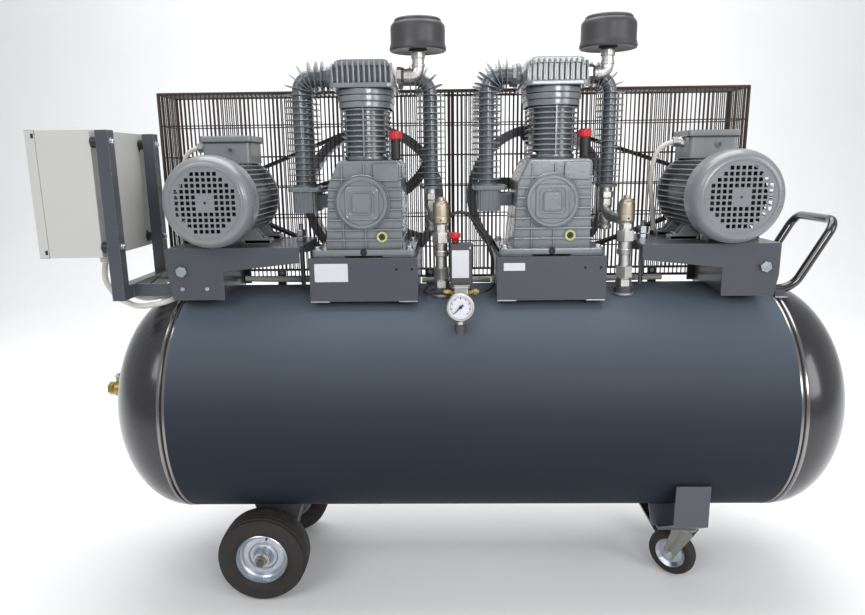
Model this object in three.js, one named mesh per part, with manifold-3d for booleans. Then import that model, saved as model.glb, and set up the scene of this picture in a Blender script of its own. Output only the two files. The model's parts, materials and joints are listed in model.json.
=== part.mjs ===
// Horizontal wheeled tank compressor with two belt-driven pumps side by side.
// Millimetres, +X along the tank, +Y towards the belt guard, +Z up, floor at Z = 0.
import * as THREE from "three";
import { mergeVertices } from "three/addons/utils/BufferGeometryUtils.js";
import Module from "manifold-3d";

const wasm = await Module();
wasm.setup();

// ---------------------------------------------------------------- driving dimensions
const GAP = 0.3; // left between pieces that touch
const SHEET = 5; // folded bracket steel
const TANK = { radius: 300, axisZ: 505, seamX: 752, domeDepth: 194, wall: 4, sides: 32 };
const PUMP = {
  bracketTopZ: 898,
  bracketHalfX: 133,
  bracketY: [-150, 94],
  skirtBottomZ: 790,
  baseThickness: 18.7,
  caseY: [-125, 90],
  crankZ: 1030,
  caseTopZ: 1131,
  cylinderX: 7,
  cylinderTopZ: 1299,
  headTopZ: 1364,
  boreRadius: 40,
  boreY: [-58, 26],
};
const CRANK = { journal: 19, throw: 30, flywheelRadius: 196, flywheelY: [132, 188] };
const MOTOR = {
  axisZ: 1039,
  plateTopZ: 927,
  housingRadius: 96,
  frontY: -220,
  coverBackY: -150,
  coverRadius: 109,
  housingBackY: 92,
  shaftRadius: 14,
  pulleyRadius: 58,
};
const GUARD = { x: [-848, 731], y: [103, 236], z: [812, 1312], bar: 8, midX: -60 };
const WHEEL = { radius: 117, width: 90, outerY: 215, x: -563, rimRadius: 68 };
const CASTER = { radius: 65, width: 36, trail: 32, x: 568, y: 99, frontYaw: -40, backYaw: 165, plateZ: 168 };
const AFTER_Y = 10; // aftercooler, behind the intake pipe
const INTAKE_Y = -62;
const STACK_Y = -80;
const JACK_Y = -15;
// cooler, after and filter are distances from the pump's centre line x.
const UNITS = [
  {
    name: "left",
    side: -1,
    x: -279,
    cooler: -156,
    after: 166,
    filter: 139,
    stackX: -88,
    motorX: -632,
    jackX: -455,
    pivotX: -721,
    plateTipX: -432,
  },
  {
    name: "right",
    side: 1,
    x: 181,
    cooler: -153,
    after: 161,
    filter: 135,
    stackX: 374,
    motorX: 597,
    jackX: 435,
    pivotX: 690,
    plateTipX: 397,
  },
];

const SLATE = { color: 0x4b4e58, roughness: 0.45, metalness: 0.3 };
const PAINT = { color: 0x6f7579, roughness: 0.35, metalness: 0.3 };
const TANK_BLUE = { color: 0x3d4650, roughness: 0.3, metalness: 0.3 };
const ZINC = { color: 0xc9ccd0, roughness: 0.3, metalness: 0.9 };
const STEEL = { color: 0x9a9ca0, roughness: 0.35, metalness: 0.9 };
const RUBBER = { color: 0x2b2826, roughness: 0.85, metalness: 0 };
const BLACK = { color: 0x26262a, roughness: 0.5, metalness: 0.1 };
const MESH_WIRE = { color: 0x2a211d, roughness: 0.5, metalness: 0.4 };
const CABINET = { color: 0xc8c9c4, roughness: 0.5, metalness: 0.1 };
const BRASS = { color: 0xb9a26a, roughness: 0.35, metalness: 0.9 };
const RED = { color: 0xc81e2a, roughness: 0.4, metalness: 0 };

// ---------------------------------------------------------------- solid helpers
const AXES = {
  x: (g) => g.rotateZ(-Math.PI / 2),
  y: (g) => g,
  z: (g) => g.rotateX(Math.PI / 2),
};

// A closed three.js geometry as a solid whose faces point out.
function toSolid(geometry) {
  geometry.deleteAttribute("normal");
  geometry.deleteAttribute("uv");
  const merged = mergeVertices(geometry, 1e-4);
  const faces = [];
  for (let i = 0; i < merged.index.count; i += 3) {
    const [a, b, c] = [0, 1, 2].map((k) => merged.index.getX(i + k));
    if (a !== b && b !== c && a !== c) faces.push(a, b, c);
  }
  const make = (triangles) =>
    new wasm.Manifold(
      new wasm.Mesh({
        numProp: 3,
        vertProperties: merged.attributes.position.array,
        triVerts: new Uint32Array(triangles),
      }),
    );
  const solid = make(faces);
  if (solid.volume() > 0) return solid;
  const flipped = [];
  for (let i = 0; i < faces.length; i += 3) flipped.push(faces[i], faces[i + 2], faces[i + 1]);
  return make(flipped);
}

function join(...solids) {
  return solids.flat().reduce((all, next) => all.add(next));
}

function cut(solid, ...tools) {
  return tools.flat().reduce((left, tool) => left.subtract(tool), solid);
}

// Block between two X, two Y and two Z values.
function block(x0, x1, y0, y1, z0, z1) {
  const g = new THREE.BoxGeometry(x1 - x0, y1 - y0, z1 - z0);
  return toSolid(g.translate((x0 + x1) / 2, (y0 + y1) / 2, (z0 + z1) / 2));
}

// Round bar or cone along an axis, from `from` to `to`, centred on `at` in the other two axes.
function rod(axis, radius, from, to, at, sides = 12, endRadius = radius) {
  const g = new THREE.CylinderGeometry(endRadius, radius, to - from, sides);
  AXES[axis](g);
  return toSolid(moveTo(g, axis, (from + to) / 2, at));
}

// Lathe about an axis; profile points are [radius, distance along the axis].
function turned(axis, profile, at, sides = 24, startAngle = 0) {
  const points = profile.map(([r, h]) => new THREE.Vector2(r, h));
  const g = new THREE.LatheGeometry(points, sides, startAngle);
  AXES[axis](g);
  return toSolid(moveTo(g, axis, 0, at));
}

function moveTo(g, axis, along, [p, q]) {
  if (axis === "x") return g.translate(along, p, q);
  if (axis === "y") return g.translate(p, along, q);
  return g.translate(p, q, along);
}

// Flat outline pushed through a thickness. Outline points are [x, z] for "y", [y, z] for "x", [x, y] for "z".
function prism(axis, outline, from, to) {
  const shape = new THREE.Shape(outline.map(([p, q]) => new THREE.Vector2(p, q)));
  const g = new THREE.ExtrudeGeometry(shape, { depth: to - from, bevelEnabled: false });
  g.translate(0, 0, from);
  if (axis === "y") g.rotateX(Math.PI / 2).scale(1, -1, 1);
  if (axis === "x") g.rotateX(Math.PI / 2).rotateZ(Math.PI / 2);
  return toSolid(g);
}

// Round tube bent along a line of points with rounded corners.
function bentBar(radius, points, bend, sides = 8, arcSteps = 3) {
  const v = points.map((p) => new THREE.Vector3(...p));
  const stations = [v[0]];
  for (let i = 1; i < v.length - 1; i++) {
    const enter = v[i].clone().add(v[i - 1].clone().sub(v[i]).setLength(bend));
    const leave = v[i].clone().add(v[i + 1].clone().sub(v[i]).setLength(bend));
    const arc = new THREE.QuadraticBezierCurve3(enter, v[i], leave);
    stations.push(...arc.getPoints(arcSteps));
  }
  stations.push(v[v.length - 1]);
  return ringSweep(radius, stations, sides);
}

// Rings of vertices carried along the stations and capped at both ends.
function ringSweep(radius, stations, sides) {
  const positions = [];
  const index = [];
  let normal = null;
  stations.forEach((p, i) => {
    const before = stations[Math.max(0, i - 1)];
    const after = stations[Math.min(stations.length - 1, i + 1)];
    const along = after.clone().sub(before).normalize();
    if (!normal) {
      const helper = Math.abs(along.z) < 0.9 ? new THREE.Vector3(0, 0, 1) : new THREE.Vector3(1, 0, 0);
      normal = new THREE.Vector3().crossVectors(along, helper).normalize();
    }
    normal.addScaledVector(along, -normal.dot(along)).normalize();
    const side = new THREE.Vector3().crossVectors(along, normal);
    for (let k = 0; k < sides; k++) {
      const a = ((k + 0.5) / sides) * 2 * Math.PI;
      const q = p.clone().addScaledVector(normal, radius * Math.cos(a));
      q.addScaledVector(side, radius * Math.sin(a));
      positions.push(q.x, q.y, q.z);
    }
  });
  const last = stations.length - 1;
  for (let i = 0; i < last; i++)
    for (let k = 0; k < sides; k++) {
      const a = i * sides + k;
      const b = i * sides + ((k + 1) % sides);
      index.push(a, b, a + sides, b, b + sides, a + sides);
    }
  for (let k = 1; k < sides - 1; k++) {
    index.push(0, k + 1, k);
    index.push(last * sides, last * sides + k, last * sides + k + 1);
  }
  const g = new THREE.BufferGeometry();
  g.setAttribute("position", new THREE.Float32BufferAttribute(positions, 3));
  return toSolid(g.setIndex(index));
}

const root = new THREE.Group();

function node(name, solid, paint) {
  const made = solid.getMesh();
  const g = new THREE.BufferGeometry();
  g.setAttribute("position", new THREE.BufferAttribute(made.vertProperties, 3));
  g.setIndex(new THREE.BufferAttribute(made.triVerts, 1));
  const mesh = new THREE.Mesh(g, new THREE.MeshStandardMaterial(paint));
  mesh.name = name;
  root.add(mesh);
}

// Round bar as wide as the tank plus a gap, cut from everything that is saddled on it.
const tankSpace = rod("x", TANK.radius + 2 * GAP, -1000, 1000, [0, TANK.axisZ], 72);

// ---------------------------------------------------------------- tank
// Profile of a vessel with half-ellipse ends: [radius, x] from one tip to the other.
function vesselProfile(radius, depth, steps) {
  const end = [];
  for (let i = 0; i <= steps; i++) {
    const a = (i / steps) * (Math.PI / 2);
    end.push([radius * Math.sin(a), TANK.seamX + depth * Math.cos(a)]);
  }
  const far = end.map(([r, x]) => [r, -x]);
  return [...far, ...end.reverse()];
}

function tank() {
  const z = TANK.axisZ;
  const inner = TANK.radius - TANK.wall;
  const shell = turned("x", vesselProfile(TANK.radius, TANK.domeDepth, 5), [0, z], TANK.sides);
  const hollow = turned("x", vesselProfile(inner, TANK.domeDepth - TANK.wall, 3), [0, z], TANK.sides / 2);
  const outlet = rod("x", 26, -962, -935, [0, z + 15]);
  const outletBore = rod("x", 13, -970, -925, [0, z + 15], 8);
  const drain = rod("z", 18, 193, 215, [0, 0], 12);
  const sockets = UNITS.map((u) => rod("z", 21, 782, 812, [u.stackX, STACK_Y], 12));
  const gaugeSocket = rod("z", 14, 715, 742, [-43, -200], 8);
  const switchSocket = rod("z", 14, 765, 792, [-39, -120], 8);
  return cut(join(shell, outlet, drain, sockets, gaugeSocket, switchSocket), hollow, outletBore);
}

// ---------------------------------------------------------------- wheels and casters
// Folded leg that leans towards the middle of the tank, with the wheel axle through its foot.
function axleBracket() {
  const flank = [
    [WHEEL.x - 30, 84],
    [WHEEL.x + 46, 84],
    [WHEEL.x + 118, 300],
    [WHEEL.x - 30, 300],
  ];
  const hollow = [
    [WHEEL.x - 25, 89],
    [WHEEL.x + 42, 89],
    [WHEEL.x + 112, 299],
    [WHEEL.x - 25, 299],
  ];
  const flankY = 118;
  const channel = cut(prism("y", flank, -flankY, flankY), prism("y", hollow, SHEET - flankY, flankY - SHEET));
  const at = [WHEEL.x, WHEEL.radius];
  const axle = rod("y", 10, -WHEEL.outerY - 9, WHEEL.outerY + 9, at);
  const collar = WHEEL.outerY - WHEEL.width;
  const collars = rod("y", 17, -collar, collar, at);
  return cut(join(channel, axle, collars), tankSpace);
}

// Wheel profiles run along Y; sign turns them to face the front or the back.
function wheelRim(sign) {
  const out = WHEEL.outerY;
  const inner = out - WHEEL.width;
  const profile = [
    [10.4, inner + 4],
    [20, inner + 4],
    [58, inner + 30],
    [WHEEL.rimRadius, inner + 6],
    [WHEEL.rimRadius, out - 12],
    [60, out - 28],
    [26, out - 24],
    [20, out - 4],
    [10.4, out - 4],
    [10.4, inner + 4],
  ];
  return turned("y", profile.map(([r, y]) => [r, sign * y]), [WHEEL.x, WHEEL.radius], 20);
}

function wheelTyre(sign) {
  const out = WHEEL.outerY;
  const inner = out - WHEEL.width;
  const sides = 24;
  const tread = WHEEL.radius / Math.cos(Math.PI / sides); // a flat facet stands on the floor
  const bead = (WHEEL.rimRadius + GAP) / Math.cos(Math.PI / sides);
  const profile = [
    [bead, inner + 7],
    [tread - 20, inner],
    [tread - 4, inner + 7],
    [tread, inner + 14],
    [tread, out - 14],
    [tread - 4, out - 7],
    [tread - 20, out],
    [bead, out - 13],
    [bead, inner + 7],
  ];
  return turned("y", profile.map(([r, y]) => [r, sign * y]), [WHEEL.x, WHEEL.radius], sides, Math.PI / sides);
}

// Folded strap under the tank: two upright ends against the shell and a level middle over the casters.
function casterBracket() {
  const half = 41.5;
  const plate = CASTER.plateZ;
  const strap = [
    [-262, 348],
    [-262, 240],
    [-148, plate],
    [148, plate],
    [262, 240],
    [262, 348],
    [256, 348],
    [256, 243],
    [145, plate + 7],
    [-145, plate + 7],
    [-256, 243],
    [-256, 348],
  ];
  const web = [
    [CASTER.x - 101, plate],
    [CASTER.x + 35, plate],
    [CASTER.x + 47, 300],
    [CASTER.x - 122, 300],
  ];
  const webs = [-125, 119].map((y) => prism("y", web, y, y + 6));
  const floor = block(CASTER.x - 101, CASTER.x + 35, -125, 125, plate, plate + 6);
  const middle = CASTER.x - 48;
  const bolts = [-1, 1].map((s) => rod("z", 7, plate - 13, plate + 3, [CASTER.x, s * CASTER.y], 12));
  return cut(join(prism("x", strap, middle - half, middle + half), webs, floor, bolts), tankSpace);
}

// Caster pieces are drawn with the wheel axle along Y, then turned about the swivel line.
function swivelled(solid, sign) {
  const yaw = sign < 0 ? CASTER.frontYaw : CASTER.backYaw;
  const turn = new THREE.Matrix4().makeRotationZ(THREE.MathUtils.degToRad(yaw));
  turn.setPosition(CASTER.x, sign * CASTER.y, 0);
  return solid.transform(turn.elements);
}

function casterFork(sign) {
  const top = CASTER.plateZ - GAP;
  const back = -CASTER.trail;
  const leg = [
    [-24, top - 16],
    [24, top - 16],
    [26, top - 30],
    [back + 12, CASTER.radius - 12],
    [back - 12, CASTER.radius - 12],
    [back - 14, CASTER.radius + 14],
  ];
  const legs = [-26, 22].map((y) => prism("y", leg, y, y + 4));
  const crown = block(-30, 28, -26, 26, top - 20, top - 14);
  const race = rod("z", 30, top - 14.2, top, [0, 0], 16);
  const axle = rod("y", 5, -31, 31, [back, CASTER.radius], 10);
  const kingpin = rod("z", 7.6, top - 40, top + 1, [0, 0], 12);
  return swivelled(cut(join(legs, crown, race, axle), kingpin), sign);
}

function casterWheel(sign) {
  const sides = 16;
  const tread = CASTER.radius / Math.cos(Math.PI / sides);
  const h = CASTER.width / 2;
  const profile = [
    [5.4, -21],
    [12, -21],
    [14, -11],
    [38, -h + 2],
    [tread - 8, -h],
    [tread, -h + 10],
    [tread, h - 10],
    [tread - 8, h],
    [38, h - 2],
    [14, 11],
    [12, 21],
    [5.4, 21],
    [5.4, -21],
  ];
  const wheel = turned("y", profile, [-CASTER.trail, CASTER.radius], sides, Math.PI / sides);
  return swivelled(wheel, sign);
}

// ---------------------------------------------------------------- handle
// Loop of tube: both feet lie on the shell, both legs rise outwards to a bar across the end.
function pullHandle() {
  const halfY = 100;
  const footX = 742;
  const footZ = 805;
  const points = [
    [footX, -halfY, footZ],
    [790, -halfY, footZ],
    [884, -halfY, 974],
    [884, halfY, 974],
    [790, halfY, footZ],
    [footX, halfY, footZ],
  ];
  const saddles = [-halfY, halfY].map((y) => block(footX + 2, footX + 20, y - 12, y + 12, 780, footZ));
  return cut(join(bentBar(11, points, 26), saddles), tankSpace);
}

// ---------------------------------------------------------------- pumps
function pumpBracket(u) {
  const { bracketTopZ: top, bracketHalfX: half, bracketY, skirtBottomZ } = PUMP;
  const [front, back] = bracketY;
  const outer = block(u.x - half, u.x + half, front, back, 740, top);
  const inside = block(u.x - half + SHEET, u.x + half - SHEET, front + SHEET, back - SHEET, 700, top - SHEET);
  const openFront = block(u.x - half - 1, u.x + half + 1, front - 1, -85, 700, skirtBottomZ);
  const openBack = block(u.x - half + 26, u.x + half - 26, back - 9, back + 1, 700, skirtBottomZ + 20);
  return cut(outer, inside, openFront, openBack, tankSpace);
}

function crankcase(u) {
  const base = PUMP.bracketTopZ + GAP;
  const deck = base + PUMP.baseThickness;
  const top = PUMP.caseTopZ;
  const [front, back] = PUMP.caseY;
  const outline = [
    [u.x - 94, deck - 5],
    [u.x + 96, deck - 5],
    [u.x + 97, top - 9],
    [u.x + 88, top],
    [u.x - 55, top],
    [u.x - 83, 1074],
  ];
  const foot = block(u.x - 127, u.x + 127, front - 15, back + 5, base, deck);
  const bossY = back + 24;
  const rearBoss = rod("y", 52, back - 2, bossY, [u.x, PUMP.crankZ], 16, 44);
  const frontPad = rod("y", 66, front - 5, front + 2, [u.x, PUMP.crankZ], 20);
  const chamber = rod("y", 76, front + 14, back - 18, [u.x, PUMP.crankZ], 16);
  const mouth = rod("y", 54, front - 6, front + 16, [u.x, PUMP.crankZ], 16);
  const shaftBore = rod("y", CRANK.journal + 2 * GAP, back - 20, bossY + 1, [u.x, PUMP.crankZ], 16);
  const boreX = u.x + PUMP.cylinderX;
  const bores = PUMP.boreY.map((y) => rod("z", PUMP.boreRadius, PUMP.crankZ, top + 1, [boreX, y], 12));
  const body = join(prism("y", outline, front, back), foot, rearBoss, frontPad);
  return cut(body, chamber, mouth, shaftBore, bores);
}

function crankCover(u) {
  const face = PUMP.caseY[0] - 5;
  const disc = rod("y", 63, face - 12, face - GAP, [u.x, PUMP.crankZ], 24);
  const ring = rod("y", 47, face - 17, face - 10, [u.x, PUMP.crankZ], 16);
  const square = block(u.x - 23, u.x + 23, face - 21, face - 15, PUMP.crankZ - 23, PUMP.crankZ + 23);
  const spigot = rod("y", 50, face - 1, face + 8, [u.x, PUMP.crankZ], 16);
  return join(disc, ring, square, spigot);
}

// Journals on the crank line, two webs with balance weights and one offset pin for both rods.
function crankshaft(u) {
  const { journal, throw: offset } = CRANK;
  const z = PUMP.crankZ;
  const at = [u.x, z];
  const web = [
    [u.x - 26, z + 50],
    [u.x + 26, z + 50],
    [u.x + 30, z],
    [u.x + 48, z - 30],
    [u.x + 30, z - 62],
    [u.x - 30, z - 62],
    [u.x - 48, z - 30],
    [u.x - 30, z],
  ];
  const webs = [-76, 44].map((y) => prism("y", web, y, y + 14));
  const pin = rod("y", 17, -70, 50, [u.x, z + offset]);
  const front = rod("y", 16, -108, -70, at);
  const back = rod("y", journal, 52, CRANK.flywheelY[1] + 14, at, 16);
  return join(webs, pin, front, back);
}

function flywheel(u) {
  const [front, back] = CRANK.flywheelY;
  const outer = CRANK.flywheelRadius;
  const at = [u.x, PUMP.crankZ];
  const rim = [
    [outer - 24, front],
    [outer, front],
    [outer, front + 8],
    [outer - 9, front + 11],
    [outer - 9, back - 11],
    [outer, back - 8],
    [outer, back],
    [outer - 24, back],
    [outer - 24, front],
  ];
  const parts = [turned("y", rim, at, 24), rod("y", 40, front - 4, back - 4, at)];
  const spokes = 5;
  for (let i = 0; i < spokes; i++) {
    const g = new THREE.BoxGeometry(30, 13, outer - 46);
    g.rotateZ(0.55).translate(0, (front + back) / 2, (outer - 46) / 2 + 26);
    g.rotateY((i / spokes) * 2 * Math.PI).translate(u.x, 0, PUMP.crankZ);
    parts.push(toSolid(g));
  }
  return cut(join(parts), rod("y", CRANK.journal + 2 * GAP, front - 5, back + 5, at, 16));
}

// Outline of both barrels together, seen from above: two half rounds and straight flanks.
function barrelOutline(x, radius, steps) {
  const [front, back] = PUMP.boreY;
  const points = [];
  for (let i = 0; i <= steps; i++) {
    const a = (i / steps) * Math.PI;
    points.push([x + radius * Math.cos(a), back + radius * Math.sin(a)]);
  }
  for (let i = 0; i <= steps; i++) {
    const a = Math.PI + (i / steps) * Math.PI;
    points.push([x + radius * Math.cos(a), front + radius * Math.sin(a)]);
  }
  return points;
}

function cylinderBlock(u) {
  const x = u.x + PUMP.cylinderX;
  const bottom = PUMP.caseTopZ + GAP;
  const top = PUMP.cylinderTopZ;
  const parts = [
    prism("z", barrelOutline(x, 48, 3), bottom, top),
    prism("z", barrelOutline(x, 59, 3), bottom, bottom + 12),
    prism("z", barrelOutline(x, 68, 4), top - 44, top),
  ];
  const fins = 4;
  const pitch = (top - 44 - bottom - 12) / fins;
  for (let i = 0; i < fins; i++) {
    const z = bottom + 12 + pitch * (i + 0.6);
    parts.push(prism("z", barrelOutline(x, 59, 3), z, z + 5));
  }
  const bores = PUMP.boreY.map((y) => rod("z", PUMP.boreRadius, bottom - 1, top + 1, [x, y]));
  return cut(join(parts), bores);
}

function cylinderHead(u) {
  const x = u.x + PUMP.cylinderX;
  const bottom = PUMP.cylinderTopZ + GAP;
  const top = PUMP.headTopZ;
  const [front, back] = [-128, 94];
  const outline = [
    [x - 79, bottom],
    [x + 79, bottom],
    [x + 79, top - 24],
    [x + 66, top - 6],
    [x + 50, top],
    [x - 50, top],
    [x - 66, top - 6],
    [x - 79, top - 24],
  ];
  const slots = [];
  for (let i = -3; i <= 3; i++)
    slots.push(block(x + i * 17 - 5, x + i * 17 + 5, front - 1, back + 1, top - 6, top + 1));
  return cut(prism("y", outline, front, back), slots);
}

const TUBE = 20;
const FIN = 36;

// Ring-shaped cooling fins on an upright tube.
function finStack(x, y, from, to, count) {
  const fins = [];
  for (let i = 0; i < count; i++) {
    const z = from + ((to - from) * i) / (count - 1);
    fins.push(rod("z", FIN, z, z + 4, [x, y], 8));
  }
  return fins;
}

function intercooler(u) {
  const x = u.x + u.cooler;
  const headX = u.x + PUMP.cylinderX - 79 - GAP;
  const parts = [
    block(x - 35, x + 54, -92, 60, 1056, 1067),
    block(x - 22, x + 32, -84, 52, 1003, 1058),
    block(x + 25, u.x - 97.5, -40, 20, 1012, 1050),
  ];
  for (const y of [-55, 28]) {
    parts.push(
      bentBar(TUBE, [[x, y, 1060], [x, y, 1333], [headX, y, 1333]], 34),
      rod("x", TUBE + 8, headX - 8, headX, [y, 1333], 8),
      ...finStack(x, y, 1100, 1260, 3),
    );
  }
  return join(parts);
}

function aftercooler(u) {
  const x = u.x + u.after;
  const y = AFTER_Y;
  const headX = u.x + PUMP.cylinderX + 79 + GAP;
  return join(
    bentBar(TUBE, [[x, y, 1046], [x, y, 1331], [headX, y, 1331]], 34),
    rod("x", TUBE + 8, headX, headX + 8, [y, 1331], 8),
    rod("z", 28, 1058, 1066, [x, y]),
    rod("z", 17, 1028, 1048, [x, y], 6),
    finStack(x, y, 1100, 1260, 4),
  );
}

// Bright pipe from the side of the head to the air filter.
function intakePipe(u) {
  const x = u.x + u.filter;
  const headX = u.x + PUMP.cylinderX + 79 + GAP;
  const y = INTAKE_Y;
  const bend = bentBar(15, [[headX, y, 1333], [x, y, 1333], [x, y, 1386]], 17);
  return join(bend, rod("x", 21, headX, headX + 12, [y, 1333], 8), rod("z", 19, 1372, 1386, [x, y], 8));
}

function airFilter(u) {
  const bottom = 1386 + GAP;
  const profile = [
    [0, bottom],
    [69, bottom],
    [69, bottom + 18],
    [66, bottom + 20],
    [66, bottom + 60],
    [56, bottom + 71],
    [0, bottom + 74],
  ];
  return turned("z", profile, [u.x + u.filter, INTAKE_Y], 24);
}

function breather(u) {
  const at = [u.x + 82, -88];
  const bottom = PUMP.caseTopZ + GAP;
  return join(
    rod("z", 15, bottom, bottom + 6, at, 8),
    rod("z", 12, bottom, bottom + 52, at, 8),
    turned(
      "z",
      [
        [0, bottom + 50],
        [17, bottom + 50],
        [17, bottom + 66],
        [13, bottom + 70],
        [0, bottom + 70],
      ],
      at,
      12,
    ),
  );
}

// Check valve, unions, delivery elbow and safety valve stacked on the tank socket.
function outletStack(u) {
  const at = [u.stackX, STACK_Y];
  const z = 812 + GAP;
  const afterX = u.x + u.after;
  const column = turned(
    "z",
    [
      [0, z],
      [19, z],
      [19, z + 18],
      [14, z + 20],
      [14, z + 34],
      [22, z + 36],
      [22, z + 56],
      [16, z + 60],
      [16, z + 84],
      [23, z + 86],
      [23, z + 106],
      [16, z + 110],
      [19, z + 162],
      [19, z + 206],
      [12, z + 228],
      [0, z + 228],
    ],
    at,
    8,
  );
  const elbow = bentBar(
    13,
    [
      [afterX, AFTER_Y, 1028 - GAP],
      [afterX, AFTER_Y, z + 172],
      [u.stackX, STACK_Y, z + 160],
    ],
    20,
  );
  return join(column, elbow, rod("z", 17, 1010, 1028 - GAP, [afterX, AFTER_Y], 6));
}

// ---------------------------------------------------------------- motors
const PIVOT_Z = 871;
const PLATE_Y = [-160, 84];
const PLATE_SKIRT_Z = 799;

// Fixed channel under the motor plate, welded to the tank, with the pivot bolt through both cheeks.
function motorStand(u) {
  const px = u.pivotX;
  const inward = -u.side;
  const xs = [px - inward * 14, px + inward * 84].sort((a, b) => a - b);
  const front = PLATE_Y[0] + SHEET + GAP;
  const back = PLATE_Y[1] - SHEET - GAP;
  const outer = block(xs[0], xs[1], front, back, 740, 889);
  const inside = block(xs[0] + SHEET, xs[1] - SHEET, front + SHEET, back - SHEET, 700, 890);
  const bolt = rod("y", 8, PLATE_Y[0] - 9, PLATE_Y[1] + 9, [px, PIVOT_Z]);
  const heads = [
    rod("y", 12, PLATE_Y[0] - 10, PLATE_Y[0] - GAP, [px, PIVOT_Z], 6),
    rod("y", 12, PLATE_Y[1] + GAP, PLATE_Y[1] + 10, [px, PIVOT_Z], 6),
  ];
  const openFront = block(xs[0] - 1, xs[1] + 1, front - 1, -62, 700, PLATE_SKIRT_Z);
  return cut(join(cut(outer, inside, openFront), bolt, heads), tankSpace);
}

// Tilting plate: top sheet and two tapered skirts, with the belt-tension screw through its free end.
function motorPlate(u) {
  const outward = u.side;
  const px = u.pivotX;
  const tipX = u.plateTipX;
  const endX = px + outward * 36;
  const notchX = px - outward * 100;
  const top = MOTOR.plateTopZ;
  const skirt = [
    [endX, top],
    [tipX, top],
    [tipX, top - 38],
    [notchX, top - 58],
    [notchX, PLATE_SKIRT_Z],
    [endX - outward * 9, PLATE_SKIRT_Z],
    [endX, 850],
  ];
  const [front, back] = PLATE_Y;
  const xs = [tipX, endX].sort((a, b) => a - b);
  const sheet = block(xs[0], xs[1], front, back, top - SHEET, top);
  const skirts = [prism("y", skirt, front, front + SHEET), prism("y", skirt, back - SHEET, back)];
  const holes = rod("y", 8 + 2 * GAP, front - 5, back + 5, [px, PIVOT_Z]);
  const stackRoom = rod("z", 31, top - 20, top + 5, [u.stackX, STACK_Y], 16);
  const jackAt = [u.jackX, JACK_Y];
  const jackFoot = TANK.axisZ + TANK.radius + 2 * GAP;
  const screw = [
    rod("z", 6, jackFoot, 972, jackAt, 8),
    rod("z", 11, top - SHEET - 9, top + 10, jackAt, 6),
    rod("z", 11, 940, 956, jackAt, 6),
  ];
  return join(cut(join(sheet, skirts), holes, stackRoom), screw);
}

function motorHousing(u) {
  const x = u.motorX;
  const z = MOTOR.axisZ;
  const { coverBackY: front, housingBackY: back, housingRadius: r } = MOTOR;
  const base = MOTOR.plateTopZ + GAP;
  const body = turned(
    "y",
    [
      [0, front + GAP],
      [r, front + GAP],
      [r, back - 18],
      [r + 5, back - 16],
      [r + 5, back - 4],
      [60, back + 10],
      [0, back + 10],
    ],
    [x, z],
    20,
  );
  const fins = [];
  const finCount = 8;
  for (let i = 0; i < finCount; i++) {
    const a = ((i + 0.5) / finCount) * 2 * Math.PI;
    const g = new THREE.BoxGeometry(4, back - front - 40, 16);
    g.translate(0, (front + back) / 2, r + 3).rotateY(a).translate(x, 0, z);
    if (Math.cos(a) > -0.85) fins.push(toSolid(g));
  }
  const feet = [-1, 1].map((s) =>
    prism(
      "y",
      [
        [x + s * 28, z - 70],
        [x + s * 62, z - 66],
        [x + s * 92, base + 14],
        [x + s * 112, base + 12],
        [x + s * 112, base],
        [x + s * 42, base],
      ],
      -78,
      62,
    ),
  );
  const box = block(x - 62, x + 62, -32, 86, z + r - 8, z + r + 62);
  const lid = block(x - 66, x + 66, -36, 90, z + r + 52, z + r + 58);
  const gland = rod("x", 14, x - 88, x - 60, [20, z + r + 34], 8);
  const rotorBore = rod("y", MOTOR.shaftRadius + 2 * GAP, front - 1, back + 12, [x, z], 16);
  return cut(join(body, fins, feet, box, lid, gland), rotorBore);
}

function fanCover(u) {
  const { frontY: front, coverBackY: back, coverRadius: r } = MOTOR;
  const profile = [
    [0, front],
    [r - 25, front],
    [r - 11, front + 9],
    [r - 3, front + 19],
    [r, front + 32],
    [r, back],
    [r - 3, back],
    [r - 3, front + 33],
    [r - 13, front + 12],
    [r - 26, front + 3],
    [0, front + 3],
  ];
  const dome = turned("y", profile, [u.motorX, MOTOR.axisZ], 20);
  const ribs = [0, 1, 2].map((i) => {
    const a = ((i + 0.25) / 3) * 2 * Math.PI;
    const g = new THREE.BoxGeometry(14, 10, 6);
    g.translate(0, back - 5, r - 4.5).rotateY(a).translate(u.motorX, 0, MOTOR.axisZ);
    return toSolid(g);
  });
  const slots = [];
  for (let i = 0; i < 6; i++) {
    const g = new THREE.BoxGeometry(16, 12, 36);
    g.translate(0, front, 52).rotateY(((i + 0.5) / 6) * 2 * Math.PI).translate(u.motorX, 0, MOTOR.axisZ);
    slots.push(toSolid(g));
  }
  return cut(join(dome, ribs), slots);
}

function motorRotor(u) {
  const at = [u.motorX, MOTOR.axisZ];
  const { frontY: front, coverBackY, pulleyRadius: p } = MOTOR;
  const shaft = rod("y", MOTOR.shaftRadius, front + 22, CRANK.flywheelY[1] + 4, at);
  const [a, b] = CRANK.flywheelY;
  const pulley = turned(
    "y",
    [
      [0, a - 2],
      [p, a - 2],
      [p, a + 8],
      [p - 9, a + 11],
      [p - 9, b - 11],
      [p, b - 8],
      [p, b],
      [0, b],
    ],
    at,
    16,
  );
  const blades = [];
  const bladeCount = 4;
  for (let i = 0; i < bladeCount; i++) {
    const g = new THREE.BoxGeometry(4, 34, 72);
    g.translate(0, front + 44, 48).rotateY((i / bladeCount) * 2 * Math.PI);
    g.translate(u.motorX, 0, MOTOR.axisZ);
    blades.push(toSolid(g));
  }
  return join(shaft, pulley, blades, rod("y", 26, front + 26, coverBackY - 8, at));
}

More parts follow.
